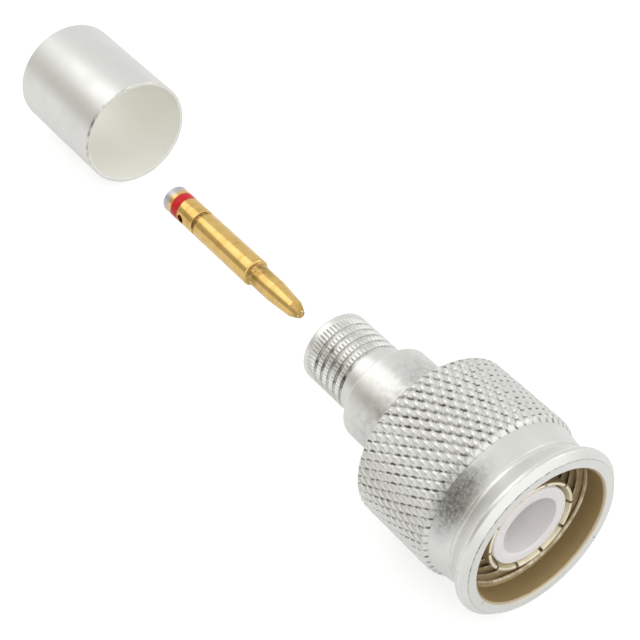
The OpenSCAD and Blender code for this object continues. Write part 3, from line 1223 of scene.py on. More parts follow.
@dataclass
class CouplingNut(Piece):
    """The coupling nut: flange, neck, plain band, diamond knurl, smooth mouth and internal thread.

    A pad of the knurl is one repeat of its pattern. What the knurl's fields say of a groove is a share of
    a pad: how far from the groove's middle it is full, and how far it ends.

    Attributes:
        face_shade_line: How the painted shade line round the front face fades on one side.
        fineness: Points round the knurl for each point round the plain parts.
        one_depth: Depth of the grooves of one slant, as a share of the knurl's depth.
        other_depth: Depth of the grooves of the other slant.
        dash: Stretch of each groove of the other slant that is cut in full depth.
        shade_across: Width of the painted shade in those grooves.
        shade_along: Length of the painted shade in those grooves.
        crest: Half-width of the thread's crest and of its whole ridge, as shares of half the pitch.
        crest_glint: Depth, as a share of the thread's, over which the crest has a painted glint.
        thread_shade: How much painted shade the thread's flanks hold.
    """

    name: str = "nut_knurled"
    node: str = "coupling_nut"
    slot: str = "nut_metal"
    body: Body = Body.NUT
    length: float = 18.6

    # Flange, and the small groove with a painted shade line where its front face ends
    flange_r: float = 10.8
    flange_end: float = 1.2
    face_r: float = 10.05
    face_bevel: float = 0.75
    line_in: float = 0.07
    line_out: float = 0.09
    face_shade_line: OneSidedShade = OneSidedShade(at_deg=135.0, half_deg=62.0, least=0.3)

    # Neck and plain band
    flare_end: float = 3.2
    neck_r: float = 9.6
    neck_end: float = 3.6
    band_r: float = 9.75
    band_rise: float = 0.4

    # Diamond knurl
    knurl_front: float = 6.5
    knurl_r: float = 10.7
    pads: int = 56
    pad_steps: int = 12
    fineness: int = 3
    helix_deg: float = 30.0
    knurl_depth: float = 0.36
    groove_share: float = 0.42
    one_depth: float = 0.8
    other_depth: float = 0.65
    dash: Span = (0.07, 0.35)
    shade_across: Span = (0.042, 0.182)
    shade_along: Span = (0.28, 0.4)
    end_drop: float = 0.5
    end_bevel: float = 0.55
    end_step: float = 0.08
    rear_land: float = 0.2
    land_gap: float = 0.02

    # Mouth and thread
    mouth_r: float = 8.75
    mouth_depth: float = 2.8
    mouth_bevel: float = 0.25
    mouth_edge: float = 0.03
    run_out: float = 0.04
    thread_r: float = 8.2
    thread_pitch: float = 25.4 / 24
    thread_end: float = 8.3
    pitch_steps: int = 12
    crest: Span = (0.125, 0.925)
    crest_glint: float = 0.125
    thread_shade: float = 0.3

    # Relief behind the thread, bearing bore and the retaining ring's groove
    relief_r: float = 8.8
    step_at: float = 12.3
    bearing_r: float = 7.1
    ring_groove_r: float = 7.95
    ring_groove_front: float = 14.65
    ring_groove_back: float = 15.75

    @property
    def pad_len(self) -> float:
        """Length of a pad along the axis."""
        return TURN * self.knurl_r / self.pads / math.tan(math.radians(self.helix_deg))

    @property
    def knurl_back(self) -> float:
        """Station where the knurl ends."""
        return self.length - self.rear_land

    def knurl(self, station: float, angles: np.ndarray) -> tuple[np.ndarray, np.ndarray, np.ndarray]:
        """Works out the diamond knurl round one row.

        Args:
            station: Station of the row.
            angles: Angles of its points, in radians.

        Returns:
            The radius, how much painted shade the groove holds there, and whether a diagonal runs forward.
        """
        a = angles * self.pads / TURN
        b = (station - self.knurl_front) / self.pad_len
        ahead = a + b + 1 / self.pad_steps
        ahead_one = np.abs(ahead - np.round(ahead))
        near_one = np.abs((a + b) - np.round(a + b))
        near_other = np.abs((a - b) - np.round(a - b))
        one, other = (
            1 - np.sin(np.pi / 2 * np.clip(near / self.groove_share, 0, 1))
            for near in (near_one, near_other)
        )
        cut = np.maximum(self.one_depth * one, self.other_depth * other)
        cut = np.maximum(cut, other * fading(near_one, self.dash))
        from_end = min(station - self.knurl_front, self.knurl_back - station)
        cap = self.knurl_r - self.end_drop * max(0.0, 1 - from_end / self.end_bevel)
        # Painted shade: dark dashes where the grooves cross
        painted_shade = fading(near_other, self.shade_across) * fading(near_one, self.shade_along)
        return np.minimum(self.knurl_r - self.knurl_depth * cut, cap), painted_shade, near_other < ahead_one

    def thread(self, station: float, angles: np.ndarray) -> tuple[np.ndarray, np.ndarray]:
        """Works out the right-hand internal thread round one row.

        Args:
            station: Station of the row.
            angles: Angles of its points, in radians.

        Returns:
            The radius, and the depth of the thread as a share of the full depth.
        """
        phase = (station - self.mouth_depth) / self.thread_pitch + angles / TURN
        from_crest = np.abs(phase - np.floor(phase) - 0.5) * 2
        sunk = fading(from_crest, self.crest)
        radius = self.thread_r + (self.mouth_r - self.thread_r) * sunk
        lead_in = self.mouth_r - (station - self.mouth_depth)
        return np.maximum(radius, lead_in), sunk

    def outside(self) -> list[Stop]:
        """Draws the flange, the neck and the plain band.

        Returns:
            The outline, from the mouth to the front of the knurl.
        """
        # The groove mark at the face's edge gets painted shade
        return rounded([
            Corner(self.mouth_r + self.mouth_bevel, 0, ease=0.06),
            Corner(self.face_r - self.line_in, 0),
            Corner(self.face_r, 0, groove=1),
            Corner(self.face_r + self.line_out, self.line_out),
            Corner(self.flange_r, self.face_bevel, ease=0.3),
            Corner(self.flange_r, self.flange_end, ease=0.5),
            Corner(self.neck_r, self.flare_end, ease=1.5),
            Corner(self.neck_r, self.neck_end, ease=0.05),
            Corner(self.band_r, self.neck_end, ease=0.08),
            Corner(self.band_r + self.band_rise, self.knurl_front - self.land_gap, ease=0.1),
        ], closed=False)

    def back_and_bore(self) -> list[Stop]:
        """Draws the nut's back and its bore as far as the thread.

        Returns:
            The outline, from the back of the knurl to the end of the thread.
        """
        # The ring groove's groove mark gets painted shade
        return rounded([
            Corner(self.band_r, self.knurl_back + self.land_gap),
            Corner(self.band_r, self.length, ease=0.15),
            Corner(self.bearing_r, self.length, ease=0.1, bore=0.4),
            Corner(self.bearing_r, self.ring_groove_back, ease=0.05, bore=1),
            Corner(self.ring_groove_r, self.ring_groove_back, ease=0.05, bore=1, groove=1),
            Corner(self.ring_groove_r, self.ring_groove_front, ease=0.05, bore=1, groove=1),
            Corner(self.bearing_r, self.ring_groove_front, ease=0.05, bore=1),
            Corner(self.bearing_r, self.step_at, ease=0.1, bore=1),
            Corner(self.relief_r, self.step_at, ease=0.15, bore=1),
            Corner(self.relief_r, self.thread_end, bore=1),
        ], closed=False)

    def mouth(self) -> list[Stop]:
        """Draws the smooth mouth.

        Returns:
            The outline, from the front of the thread to the front face.
        """
        return rounded([
            Corner(self.mouth_r, self.mouth_depth - self.run_out, bore=1),
            Corner(self.mouth_r, self.mouth_bevel, ease=0.05, bore=1),
            Corner(self.mouth_r + self.mouth_bevel - self.mouth_edge, self.mouth_edge, bore=0.4),
        ], closed=False)

    def add_knurl(self, turned: TurnedMesh, last: np.ndarray) -> np.ndarray:
        """Adds the knurl's rows.

        Args:
            turned: The mesh so far.
            last: Indices of the ring in front of the knurl.

        Returns:
            The indices of the knurl's last row.
        """
        fine = spread(self.pads * self.pad_steps)
        rows = round((self.knurl_back - self.knurl_front) / self.pad_len * self.pad_steps)
        step_r = self.knurl_r - self.end_drop - self.end_step
        step = turned.ring(step_r, self.knurl_front - self.land_gap, fine)
        turned.join(last, step)
        last = step
        for row in range(rows + 1):
            station = self.knurl_front + (self.knurl_back - self.knurl_front) * row / rows
            radius, painted_shade, forward = self.knurl(station, fine)
            ring = turned.ring(radius, station, fine, groove=painted_shade)
            if row:
                turned.join_creased(last, ring, forward)
            else:
                turned.join(last, ring)
            last = ring
        return last

    def add_thread(self, turned: TurnedMesh, last: np.ndarray, angles: np.ndarray) -> np.ndarray:
        """Adds the thread's rows, from its end to its front.

        Args:
            turned: The mesh so far.
            last: Indices of the ring behind the thread.
            angles: Angles of the rows' points, in radians.

        Returns:
            The indices of the thread's front row.
        """
        length = self.thread_end - self.mouth_depth
        rows = round(length / self.thread_pitch * self.pitch_steps)
        for row in range(rows, -1, -1):
            station = self.mouth_depth + length * row / rows
            radius, sunk = self.thread(station, angles)
            # Painted glint on the crests through the edge mark, and painted shade on the flanks
            shine = fading(sunk, (0.0, self.crest_glint))
            painted_shade = self.thread_shade * (1 - shine)
            ring = turned.ring(radius, station, angles, edge=shine, bore=1, groove=painted_shade)
            turned.join(last, ring)
            last = ring
        return last

    def shape(self) -> bpy.types.Object:
        """Builds the nut: the plain outside and inside, the fine knurl and the thread.

        Returns:
            The nut, without a material.
        """
        turned = TurnedMesh()
        plain = spread(self.pads * self.pad_steps // self.fineness)
        front = turned.turn(self.outside(), plain)
        # Painted shade line round the front face, darker on one side
        turned.fade(Mark.GROOVE, self.face_shade_line.share(plain))
        last = self.add_knurl(turned, front[-1])
        back = turned.turn(self.back_and_bore(), plain)
        turned.join(last, back[0])
        last = self.add_thread(turned, back[-1], plain)
        mouth = turned.turn(self.mouth(), plain)
        turned.join(last, mouth[0])
        turned.join(mouth[-1], front[0])
        return turned.finish(self.name)

    def finish(self) -> Finish:
        """Gives the nut its silver plate, with the flange's two dents and the band's dark patch.

        Returns:
            The finish.
        """
        nicks = (Nick(9.25, angle_deg=213.0, length=0.42, width=0.13),
                 Nick(9.65, angle_deg=326.0, length=0.3, width=0.16))
        # A dark mottled patch on one side of the plain band
        dark_patch = DarkPatch(9.9, station=5.4, angle_deg=141.0, length=2.8, width=6.8)
        return replace(SILVER, name="nut_silver_plate", nicks=nicks, dark_patches=(dark_patch,))


@dataclass
class ConnectorBody(Piece):
    """The turned body: shoulder, journal, neck, cone and crimp post with ring grooves and a straight knurl.

    Attributes:
        post_shade: How the post's painted shade fades on one side.
        fineness: Points round the post for each point round the plain parts.
        tooth_gap: Half-width of the gap between two teeth, as a share of a tooth.
        tooth_shade: How much painted shade the gaps hold.
    """

    name: str = "body_turned"
    node: str = "connector_body"
    slot: str = "body_metal"
    body: Body = Body.CONNECTOR

    # Shoulder, journal and the retaining ring's groove
    front: float = 9.6
    shoulder_r: float = 8.0
    shoulder_back: float = 12.0
    journal_r: float = 7.05
    journal_end: float = 18.3
    ring_groove_r: float = 6.53
    ring_groove_front: float = 14.65
    ring_groove_back: float = 15.75

    # Neck and post
    neck_front: float = 18.6
    neck_r: float = 6.2
    neck_end: float = 26.5
    post_start: float = 27.5
    post_end: float = 36.5
    post_r: float = 4.62
    root_flat: float = 0.6
    root_len: float = 1.6
    rear_land: float = 0.9
    land_fade: float = 0.12
    land_step: float = 0.05

    # Ring grooves of the post
    grooves: int = 5
    groove_pitch: float = 1.18
    groove_w: float = 0.55
    groove_depth: float = 0.3
    groove_slope: float = 0.05

    # Straight knurl of the post
    teeth: int = 60
    tooth_steps: int = 8
    fineness: int = 4
    tooth_depth: float = 0.16
    tooth_gap: float = 0.26
    tooth_shade: float = 0.8
    post_shade: OneSidedShade = OneSidedShade(at_deg=150.0, half_deg=24.0, least=0.22)

    # Bores
    seat_r: float = 5.92
    sleeve_end: float = 14.02
    bead_r: float = 5.1
    bead_stop: float = 19.44
    cable_r: float = 3.65
    cable_bevel: float = 0.15

    @property
    def knurl_front(self) -> float:
        """Station of the first ring groove, where the knurl begins."""
        return self.post_start + self.root_len

    @property
    def knurl_back(self) -> float:
        """Station where the knurl ends."""
        return self.post_end - self.rear_land

    def outside(self) -> list[Stop]:
        """Draws the body's outside without the post.

        Returns:
            The outline, from the front seat to the root of the post.
        """
        # Groove marks at the shoulder, the ring groove and the neck get painted shade
        return rounded([
            Corner(self.seat_r, self.front, ease=0.08),
            Corner(self.shoulder_r, self.front, ease=0.12),
            Corner(self.shoulder_r, self.shoulder_back, ease=0.12),
            Corner(self.journal_r, self.shoulder_back, ease=0.1, groove=0.6),
            Corner(self.journal_r, self.ring_groove_front, ease=0.04),
            Corner(self.ring_groove_r, self.ring_groove_front, ease=0.04, groove=1),
            Corner(self.ring_groove_r, self.ring_groove_back, ease=0.04, groove=1),
            Corner(self.journal_r, self.ring_groove_back, ease=0.04),
            Corner(self.journal_r, self.journal_end, ease=0.05),
            Corner(self.neck_r, self.neck_front, ease=0.15, groove=0.5),
            Corner(self.neck_r, self.neck_end, ease=0.25),
            Corner(self.post_r, self.post_start, ease=0.35),
        ], closed=False)

    def post(self) -> list[Stop]:
        """Draws the post with its ring grooves.

        Returns:
            The outline, from the root of the post to the mouth of its bore.
        """
        floor_r = self.post_r - self.groove_depth
        corners = [Corner(self.post_r, self.post_start + self.root_flat)]
        for i in range(self.grooves):
            start = self.knurl_front + i * self.groove_pitch
            end = start + self.groove_w
            corners += [
                Corner(self.post_r, start, ease=0.06),
                Corner(floor_r, start + self.groove_slope, ease=0.06, groove=1),
                Corner(floor_r, end - self.groove_slope, ease=0.06, groove=1),
                Corner(self.post_r, end, ease=0.06),
            ]
        corners += [
            Corner(self.post_r, self.knurl_back - self.land_fade),
            Corner(self.post_r, self.knurl_back),
            Corner(self.post_r, self.knurl_back + self.land_step),
            Corner(self.post_r, self.post_end, ease=0.32),
            Corner(self.cable_r + self.cable_bevel, self.post_end, ease=0.08),
        ]
        return rounded(corners, closed=False)

    def bores(self) -> list[Stop]:
        """Draws the bores.

        Returns:
            The outline, from the back of the post to the front seat.
        """
        # Groove marks at the inner steps get painted shade
        return rounded([
            Corner(self.cable_r, self.post_end - self.cable_bevel, ease=0.05, bore=0.6),
            Corner(self.cable_r, self.bead_stop, ease=0.05, bore=1),
            Corner(self.bead_r, self.bead_stop, ease=0.05, bore=1, groove=1),
            Corner(self.bead_r, self.sleeve_end, ease=0.05, bore=1),
            Corner(self.seat_r, self.sleeve_end, ease=0.05, bore=1, groove=1),
        ], closed=False)

    def post_row(self, turned: TurnedMesh, stop: Stop, angles: np.ndarray) -> np.ndarray:
        """Adds one ring of the post, with teeth where the straight knurl reaches it.

        Args:
            turned: The mesh so far.
            stop: The ring's place on the outline.
            angles: Angles of the ring's points, in radians.

        Returns:
            The ring's indices.
        """
        first, last = self.knurl_front + self.groove_w - HAIR, self.knurl_back - HAIR
        step = np.arange(len(angles)) % self.tooth_steps
        from_gap = np.minimum(step, self.tooth_steps - step) / self.tooth_steps
        sunk = fading(from_gap, (0.0, self.tooth_gap)) * (first <= stop.station < last)
        radius = np.minimum(stop.radius, self.post_r - self.tooth_depth * sunk)
        # Painted shade in the ring grooves and the gaps between the teeth, dark on one side of the post
        painted_shade = np.maximum(stop.groove, self.tooth_shade * sunk) * self.post_shade.share(angles)
        return turned.ring(radius, stop.station, angles, edge=stop.edge, groove=painted_shade)

    def shape(self) -> bpy.types.Object:
        """Builds the body: plain front half, toothed post and the bores inside.

        Returns:
            The body, without a material.
        """
        turned = TurnedMesh()
        fine = spread(self.teeth * self.tooth_steps)
        plain = fine[::self.fineness]
        front = turned.turn(self.outside(), plain)
        last = front[-1]
        for stop in self.post():
            ring = self.post_row(turned, stop, fine)
            turned.join(last, ring)
            last = ring
        inner = turned.turn(self.bores(), plain)
        turned.join(last, inner[0])
        turned.join(inner[-1], front[0])
        return turned.finish(self.name)

    def finish(self) -> Finish:
        """Returns the body's silver plate."""
        return replace(SILVER, name="body_silver_plate", shade_share=0.8)


@dataclass
class RetainingRing(Piece):
    """The open spring ring that keeps the nut on the body."""

    name: str = "ring_spring"
    node: str = "retaining_ring"
    slot: str = "spring_metal"
    body: Body = Body.CONNECTOR
    inner_r: float = 6.55
    outer_r: float = 7.65
    front: float = 14.8
    thickness: float = 0.8
    gap_deg: float = 36.0
    gap_at_deg: float = 270.0
    columns: int = 120

    def shape(self) -> bpy.types.Object:
        """Builds the ring with its gap.

        Returns:
            The ring, without a material.
        """
        turned = TurnedMesh()
        back = self.front + self.thickness
        section = rounded([
            Corner(self.inner_r, self.front, ease=0.12), Corner(self.outer_r, self.front, ease=0.12),
            Corner(self.outer_r, back, ease=0.12), Corner(self.inner_r, back, ease=0.12),
        ])
        start = math.radians(self.gap_at_deg + self.gap_deg / 2)
        end = math.radians(self.gap_at_deg - self.gap_deg / 2 + 360)
        turned.sweep(section, np.linspace(start, end, self.columns + 1))
        return turned.finish(self.name)

    def finish(self) -> Finish:
        """Returns bare spring metal."""
        return PlatedMetal("bare_spring_wire", colour=(0.62, 0.60, 0.56), cloud=(0.55, 0.53, 0.5),
                           bore=(0.6, 0.58, 0.54), painted_shade=(0.2, 0.18, 0.16), roughness=0.3)


@dataclass
class FaceGasket(Tube):
    """The rubber ring on the body's front face."""

    name: str = "gasket_seal"
    node: str = "face_gasket"
    slot: str = "seal_rubber"
    body: Body = Body.CONNECTOR
    inner_r: float = 6.5
    outer_r: float = 7.85
    front: float = 8.6
    back: float = 9.6

    def section(self) -> list[Stop]:
        """Draws the gasket's section with its moulded edges.

        Returns:
            The points of its closed outline.
        """
        return rounded([
            Corner(self.inner_r, self.front, ease=0.25), Corner(self.outer_r, self.front, ease=0.25),
            Corner(self.outer_r, self.back, ease=0.1), Corner(self.inner_r, self.back, ease=0.1),
        ])

    def finish(self) -> Finish:
        """Returns brick-red rubber."""
        return Moulding("brick_red_rubber", colour=(0.36, 0.055, 0.03), shade=(0.30, 0.045, 0.028),
                        roughness=0.55, ring_depth=0.0)


@dataclass
class OuterContact(Piece):
    """The slotted spring sleeve inside the nut, with a swollen lip on each finger.

    Attributes:
        lip_slope: Length of the lip's back slope for each unit that the lip stands proud.
        throat_len: Length of the slope that opens the lip inside.
        columns: Steps round each finger.
    """

    name: str = "sleeve_fingers"
    node: str = "outer_contact"
    slot: str = "finger_metal"
    body: Body = Body.CONNECTOR
    tip: float = 1.76
    tip_r: float = 5.83
    sleeve_r: float = 5.65
    inner_r: float = 5.1
    lip_len: float = 1.6
    lip_slope: float = 1.6
    throat_len: float = 1.0
    seat_r: float = 5.9
    seat_front: float = 9.6
    end: float = 14.0
    slots: int = 10
    slot_phase_deg: float = 3.5
    slot_w: float = 0.4
    slot_len: float = 6.4
    columns: int = 14

    def around(self, radius: float) -> np.ndarray:
        """Spreads the columns of all fingers round the axis, with parallel slots between the fingers.

        Args:
            radius: Distance from the axis.

        Returns:
            The columns' angles, in radians.
        """
        half_slot = math.asin(self.slot_w / 2 / radius)
        step = TURN / self.slots
        starts = math.radians(self.slot_phase_deg) + np.arange(self.slots) * step
        share = np.linspace(0, 1, self.columns + 1)
        return (starts[:, None] + half_slot + share * (step - 2 * half_slot)).ravel()

    def fingers(self) -> list[Stop]:
        """Draws the section of a finger.

        Returns:
            The outline, from the slot's end outside, round the lip, to its end inside.
        """
        slot_end = self.tip + self.slot_len
        lip_end = self.tip + self.lip_len
        crown = lip_end - (self.tip_r - self.sleeve_r) * self.lip_slope
        wall = self.tip_r - self.inner_r
        return rounded([
            Corner(self.sleeve_r, slot_end),
            Corner(self.sleeve_r, lip_end, ease=0.15),
            Corner(self.tip_r, crown, ease=0.3),
            Corner(self.tip_r, self.tip, ease=0.2 * wall),
            Corner(self.tip_r - wall / 2, self.tip, ease=0.15 * wall),
            Corner(self.inner_r, self.tip + self.throat_len, ease=0.4),
            Corner(self.inner_r, slot_end),
        ], closed=False, steps=6)

    def base(self) -> list[Stop]:
        """Draws the section of the whole sleeve behind the slots.

        Returns:
            The outline between the slots' end outside and inside, without those two points.
        """
        slot_end = self.tip + self.slot_len
        # The groove mark at the seat's inner corner gets painted shade
        return rounded([
            Corner(self.sleeve_r, slot_end),
            Corner(self.sleeve_r, self.seat_front, ease=0.05, groove=0.5),
            Corner(self.seat_r, self.seat_front, ease=0.05),
            Corner(self.seat_r, self.end, ease=0.05),
            Corner(self.inner_r, self.end, ease=0.05),
            Corner(self.inner_r, slot_end),
        ], closed=False)[1:-1]

    def shape(self) -> bpy.types.Object:
        """Builds the fingers, the whole ring behind them and the seat.

        Returns:
            The sleeve, without a material.
        """
        turned = TurnedMesh()
        front = [turned.ring_at(stop, self.around(stop.radius)) for stop in self.fingers()]
        back = [turned.ring_at(stop, self.around(stop.radius)) for stop in self.base()]
        span = self.columns + 1
        for a, b in zip(front, front[1:]):
            for i in range(0, len(a), span):
                turned.join(a[i:i + span], b[i:i + span], whole=False)
        whole = [front[0], *back, front[-1]]
        for a, b in zip(whole, whole[1:]):
            turned.join(a, b)
        outer, inner = front[0], front[-1]
        for i in range(self.slots):
            left, right = (i * span - 1) % len(outer), i * span
            floor = (outer[left], outer[right], inner[right], inner[left])
            turned.faces.append(tuple(int(k) for k in floor))
            for column in (right, right + self.columns):
                turned.faces.append(tuple(int(ring[column]) for ring in front))
        return turned.finish(self.name)

    def finish(self) -> Finish:
        """Returns the fingers' pale plating over bronze."""
        return PlatedMetal("finger_plate", colour=(0.86, 0.79, 0.62), cloud=(0.80, 0.72, 0.52),
                           bore=(0.6, 0.5, 0.3), painted_shade=(0.34, 0.26, 0.13), roughness=0.32, scratches=0.3)


@dataclass
class FrontInsulator(Tube):
    """The white tube inside the fingers."""

    name: str = "insulator_tube"
    node: str = "front_insulator"
    slot: str = "dielectric"
    body: Body = Body.CONNECTOR
    front: float = 1.95
    outer_r: float = 5.0
    bore_r: float = 3.62
    seat_front: float = 12.0
    seat_r: float = 5.08
    end: float = 14.0

    def section(self) -> list[Stop]:
        """Draws the tube's section with its lightly broken edges.

        Returns:
            The points of its closed outline.
        """
        return rounded([
            Corner(self.bore_r, self.front, ease=0.14), Corner(self.outer_r, self.front, ease=0.18),
            Corner(self.outer_r, self.seat_front, ease=0.05),
            Corner(self.seat_r, self.seat_front, ease=0.05),
            Corner(self.seat_r, self.end, ease=0.08), Corner(self.bore_r, self.end, ease=0.08),
        ])

    def finish(self) -> Finish:
        """Returns white fluoropolymer."""
        return WHITE_POLYMER


@dataclass
class RearInsulator(Tube):
    """The bead that carries the centre contact."""

    name: str = "insulator_bead"
    node: str = "rear_insulator"
    slot: str = "dielectric"
    body: Body = Body.CONNECTOR
    front: float = 14.02
    back: float = 19.42
    outer_r: float = 5.08
    bore_r: float = 2.07
    bevel: float = 0.4
    columns: int = 120

    def section(self) -> list[Stop]:
        """Draws the bead's section with a lead-in at each end of its bore.

        Returns:
            The points of its closed outline.
        """
        lead_r = self.bore_r + self.bevel
        return rounded([
            Corner(lead_r, self.front, ease=0.05), Corner(self.outer_r, self.front, ease=0.1),
            Corner(self.outer_r, self.back, ease=0.1), Corner(lead_r, self.back, ease=0.05),
            Corner(self.bore_r, self.back - self.bevel, ease=0.05),
            Corner(self.bore_r, self.front + self.bevel, ease=0.05),
        ])

    def finish(self) -> Finish:
        """Returns white fluoropolymer."""
        return WHITE_POLYMER


@dataclass
class CentreContact(Piece):
    """The gold centre contact, taken off: point, tapered pin, barrel, ring groove and solder cup.

    Attributes:
        drill: Where the drill for the inspection hole starts and ends, as shares of the barrel's radius.
    """

    name: str = "contact_pin"
    node: str = "centre_contact"
    slot: str = "contact_gold"
    body: Body = Body.CONTACT
    columns: int = 120

    # Pin
    tip: float = 43.1
    flat_r: float = 0.5
    point_len: float = 1.4
    tip_r: float = 1.12
    taper_len: float = 4.0
    root_r: float = 1.46
    root_gap: float = 0.02
    pin_len: float = 9.5

    # Barrel and its ring groove
    rear: float = 71.1
    barrel_r: float = 1.82
    shoulder_bevel: float = 0.16
    groove_from_rear: float = 7.1
    groove_w: float = 0.7
    groove_depth: float = 0.26
    groove_slope: float = 0.06

    # Solder cup and its inspection hole
    cup_r: float = 1.35
    cup_depth: float = 6.0
    peep_r: float = 0.6
    peep_from_rear: float = 4.0
    drill: Span = (0.2, 1.4)
    drill_columns: int = 40

    def outline(self) -> list[Stop]:
        """Draws the contact.

        Returns:
            The outline, from the tip over the barrel to the bottom of the cup.
        """
        shoulder = self.tip + self.pin_len
        groove = self.rear - self.groove_from_rear
        groove_end = groove + self.groove_w
        floor_r = self.barrel_r - self.groove_depth
        bottom = self.rear - self.cup_depth
        # Groove marks get painted shade: a darker tip, the pin's root, the ring groove and the cup's bottom
        return rounded([
            Corner(0, self.tip),
            Corner(self.flat_r, self.tip, ease=0.25, groove=0.8),
            Corner(self.tip_r, self.tip + self.point_len, ease=0.5),
            Corner(self.root_r, self.tip + self.point_len + self.taper_len, ease=1.5),
            Corner(self.root_r, shoulder - self.root_gap, ease=0.08, groove=0.9),
            Corner(self.barrel_r - self.shoulder_bevel, shoulder, ease=0.04),
            Corner(self.barrel_r, shoulder + self.shoulder_bevel, ease=0.08),
            Corner(self.barrel_r, groove, ease=0.06),
            Corner(floor_r, groove + self.groove_slope, ease=0.06, groove=1),
            Corner(floor_r, groove_end - self.groove_slope, ease=0.06, groove=1),
            Corner(self.barrel_r, groove_end, ease=0.06),
            Corner(self.barrel_r, self.rear, ease=0.12),
            Corner(self.cup_r, self.rear, ease=0.08, bore=1),
            Corner(self.cup_r, bottom, ease=0.1, bore=1, groove=1),
            Corner(0, bottom, bore=1, groove=1),
        ], closed=False, steps=5)

    def shape(self) -> bpy.types.Object:
        """Builds the contact and drills its inspection hole.

        Returns:
            The contact, without a material.
        """
        turned = TurnedMesh()
        turned.turn(self.outline(), spread(self.columns))
        pin = turned.finish(self.name)
        self.drill_hole(pin)
        return pin

    def drill_hole(self, pin: bpy.types.Object) -> None:
        """Drills the inspection hole through the cup's wall, from the side that faces the camera.

        Args:
            pin: The contact without its hole.
        """
        start, end = (share * self.barrel_r * MM for share in self.drill)
        side = Vector((0, -1, 0))
        upright_to_side = Vector((0, 0, 1)).rotation_difference(side).to_matrix()
        middle = Vector((self.peep_from_rear - self.rear, 0, 0)) * MM + side * (start + end) / 2
        drill = bmesh.new()
        bmesh.ops.create_cone(drill, cap_ends=True, segments=self.drill_columns,
                              radius1=self.peep_r * MM, radius2=self.peep_r * MM, depth=end - start)
        bmesh.ops.rotate(drill, verts=drill.verts[:], matrix=upright_to_side)
        bmesh.ops.translate(drill, verts=drill.verts[:], vec=middle)
        mesh = bpy.data.meshes.new("drill")
        drill.to_mesh(mesh)
        drill.free()
        cutter = bpy.data.objects.new("drill", mesh)
        bpy.context.scene.collection.objects.link(cutter)
        cut = pin.modifiers.new("hole", "BOOLEAN")
        cut.operation = "DIFFERENCE"
        cut.solver = "EXACT"
        cut.object = cutter
        bpy.context.view_layer.update()
        shown = pin.evaluated_get(bpy.context.evaluated_depsgraph_get())
        drilled = bpy.data.meshes.new_from_object(shown)
        pin.modifiers.clear()
        pin.data = drilled
        bpy.data.objects.remove(cutter)
        crease(pin)

    def finish(self) -> Finish:
        """Returns gold with the red band and the tinned end."""
        return GoldContact("gold_with_red_band", rear=self.rear)


@dataclass
class CrimpFerrule(Piece):
    """The thin drawn tube that is crimped over the cable's braid, taken off and lying on the table.

    Attributes:
        aside: Distance of its axis from the connector axis, along Y.
        drop: Distance of its axis below the connector axis.
        rim_w: Width of the painted shade line round the front rim.
        rim_shade: How that painted shade fades on one side.
    """

    name: str = "ferrule_tube"
    node: str = "crimp_ferrule"
    slot: str = "ferrule_metal"
    body: Body = Body.FERRULE
    front: float = 90.2
    back: float = 108.4
    outer_r: float = 7.75
    bore_r: float = 7.3
    aside: float = 5.5
    drop: float = 3.05
    rim_w: float = 0.3
    rim_shade: OneSidedShade = OneSidedShade(at_deg=150.0, half_deg=42.0, least=0.15)
    columns: int = 192

    def shape(self) -> bpy.types.Object:
        """Builds the tube with its tumbled edges, and lays it to one side of the connector axis.

        Returns:
            The tube, without a material.
        """
        turned = TurnedMesh()
        section = rounded([
            Corner(self.bore_r, self.front, ease=0.1, bore=1),
            Corner(self.outer_r, self.front, ease=0.12, groove=1),
            Corner(self.outer_r, self.front + self.rim_w),
            Corner(self.outer_r, self.back, ease=0.16),
            Corner(self.bore_r, self.back, ease=0.12, bore=1),
        ])
        around = spread(self.columns)
        turned.turn_closed(section, around)
        # Painted shade line round the front rim, darker on one side
        turned.fade(Mark.GROOVE, self.rim_shade.share(around))
        tube = turned.finish(self.name)
        tube.location = Vector((0.0, self.aside, -self.drop)) * MM
        return tube

    def finish(self) -> Finish:
        """Gives the ferrule its soft silver plate.

        Returns:
            The finish.
        """
        return PlatedMetal("ferrule_silver_plate", colour=SILVER.colour, cloud=(0.77, 0.768, 0.74),
                           bore=(0.94, 0.935, 0.88), painted_shade=SILVER.painted_shade, roughness=0.36, bore_roughness=0.6,
                           bore_metal=0.2, ring_depth=0.0006, grain_depth=0.002, scratches=0.25)


@dataclass(frozen=True)
class Softbox:
    """A square lamp that faces the plug.

    Attributes:
        name: Name of the lamp.
        towards: Direction from the plug to the lamp.
        distance: Distance between them.
        size: Side of the lamp.
        level: Brightness of its face, where 1 is white.
    """

    name: str
    towards: tuple[float, float, float]
    distance: float
    size: float
    level: float

    def hang(self, aim: Vector) -> None:
        """Hangs the lamp.

        Args:
            aim: The point that it faces.
        """
        data = bpy.data.lights.new(self.name, "AREA")
        data.shape = "SQUARE"
        data.size = self.size * MM
        data.energy = self.level * math.pi * data.size ** 2
        lamp = bpy.data.objects.new(self.name, data)
        heading = Vector(self.towards).normalized()
        lamp.location = (aim + heading * self.distance) * MM
        lamp.rotation_euler = heading.to_track_quat("Z", "Y").to_euler()
        bpy.context.scene.collection.objects.link(lamp)


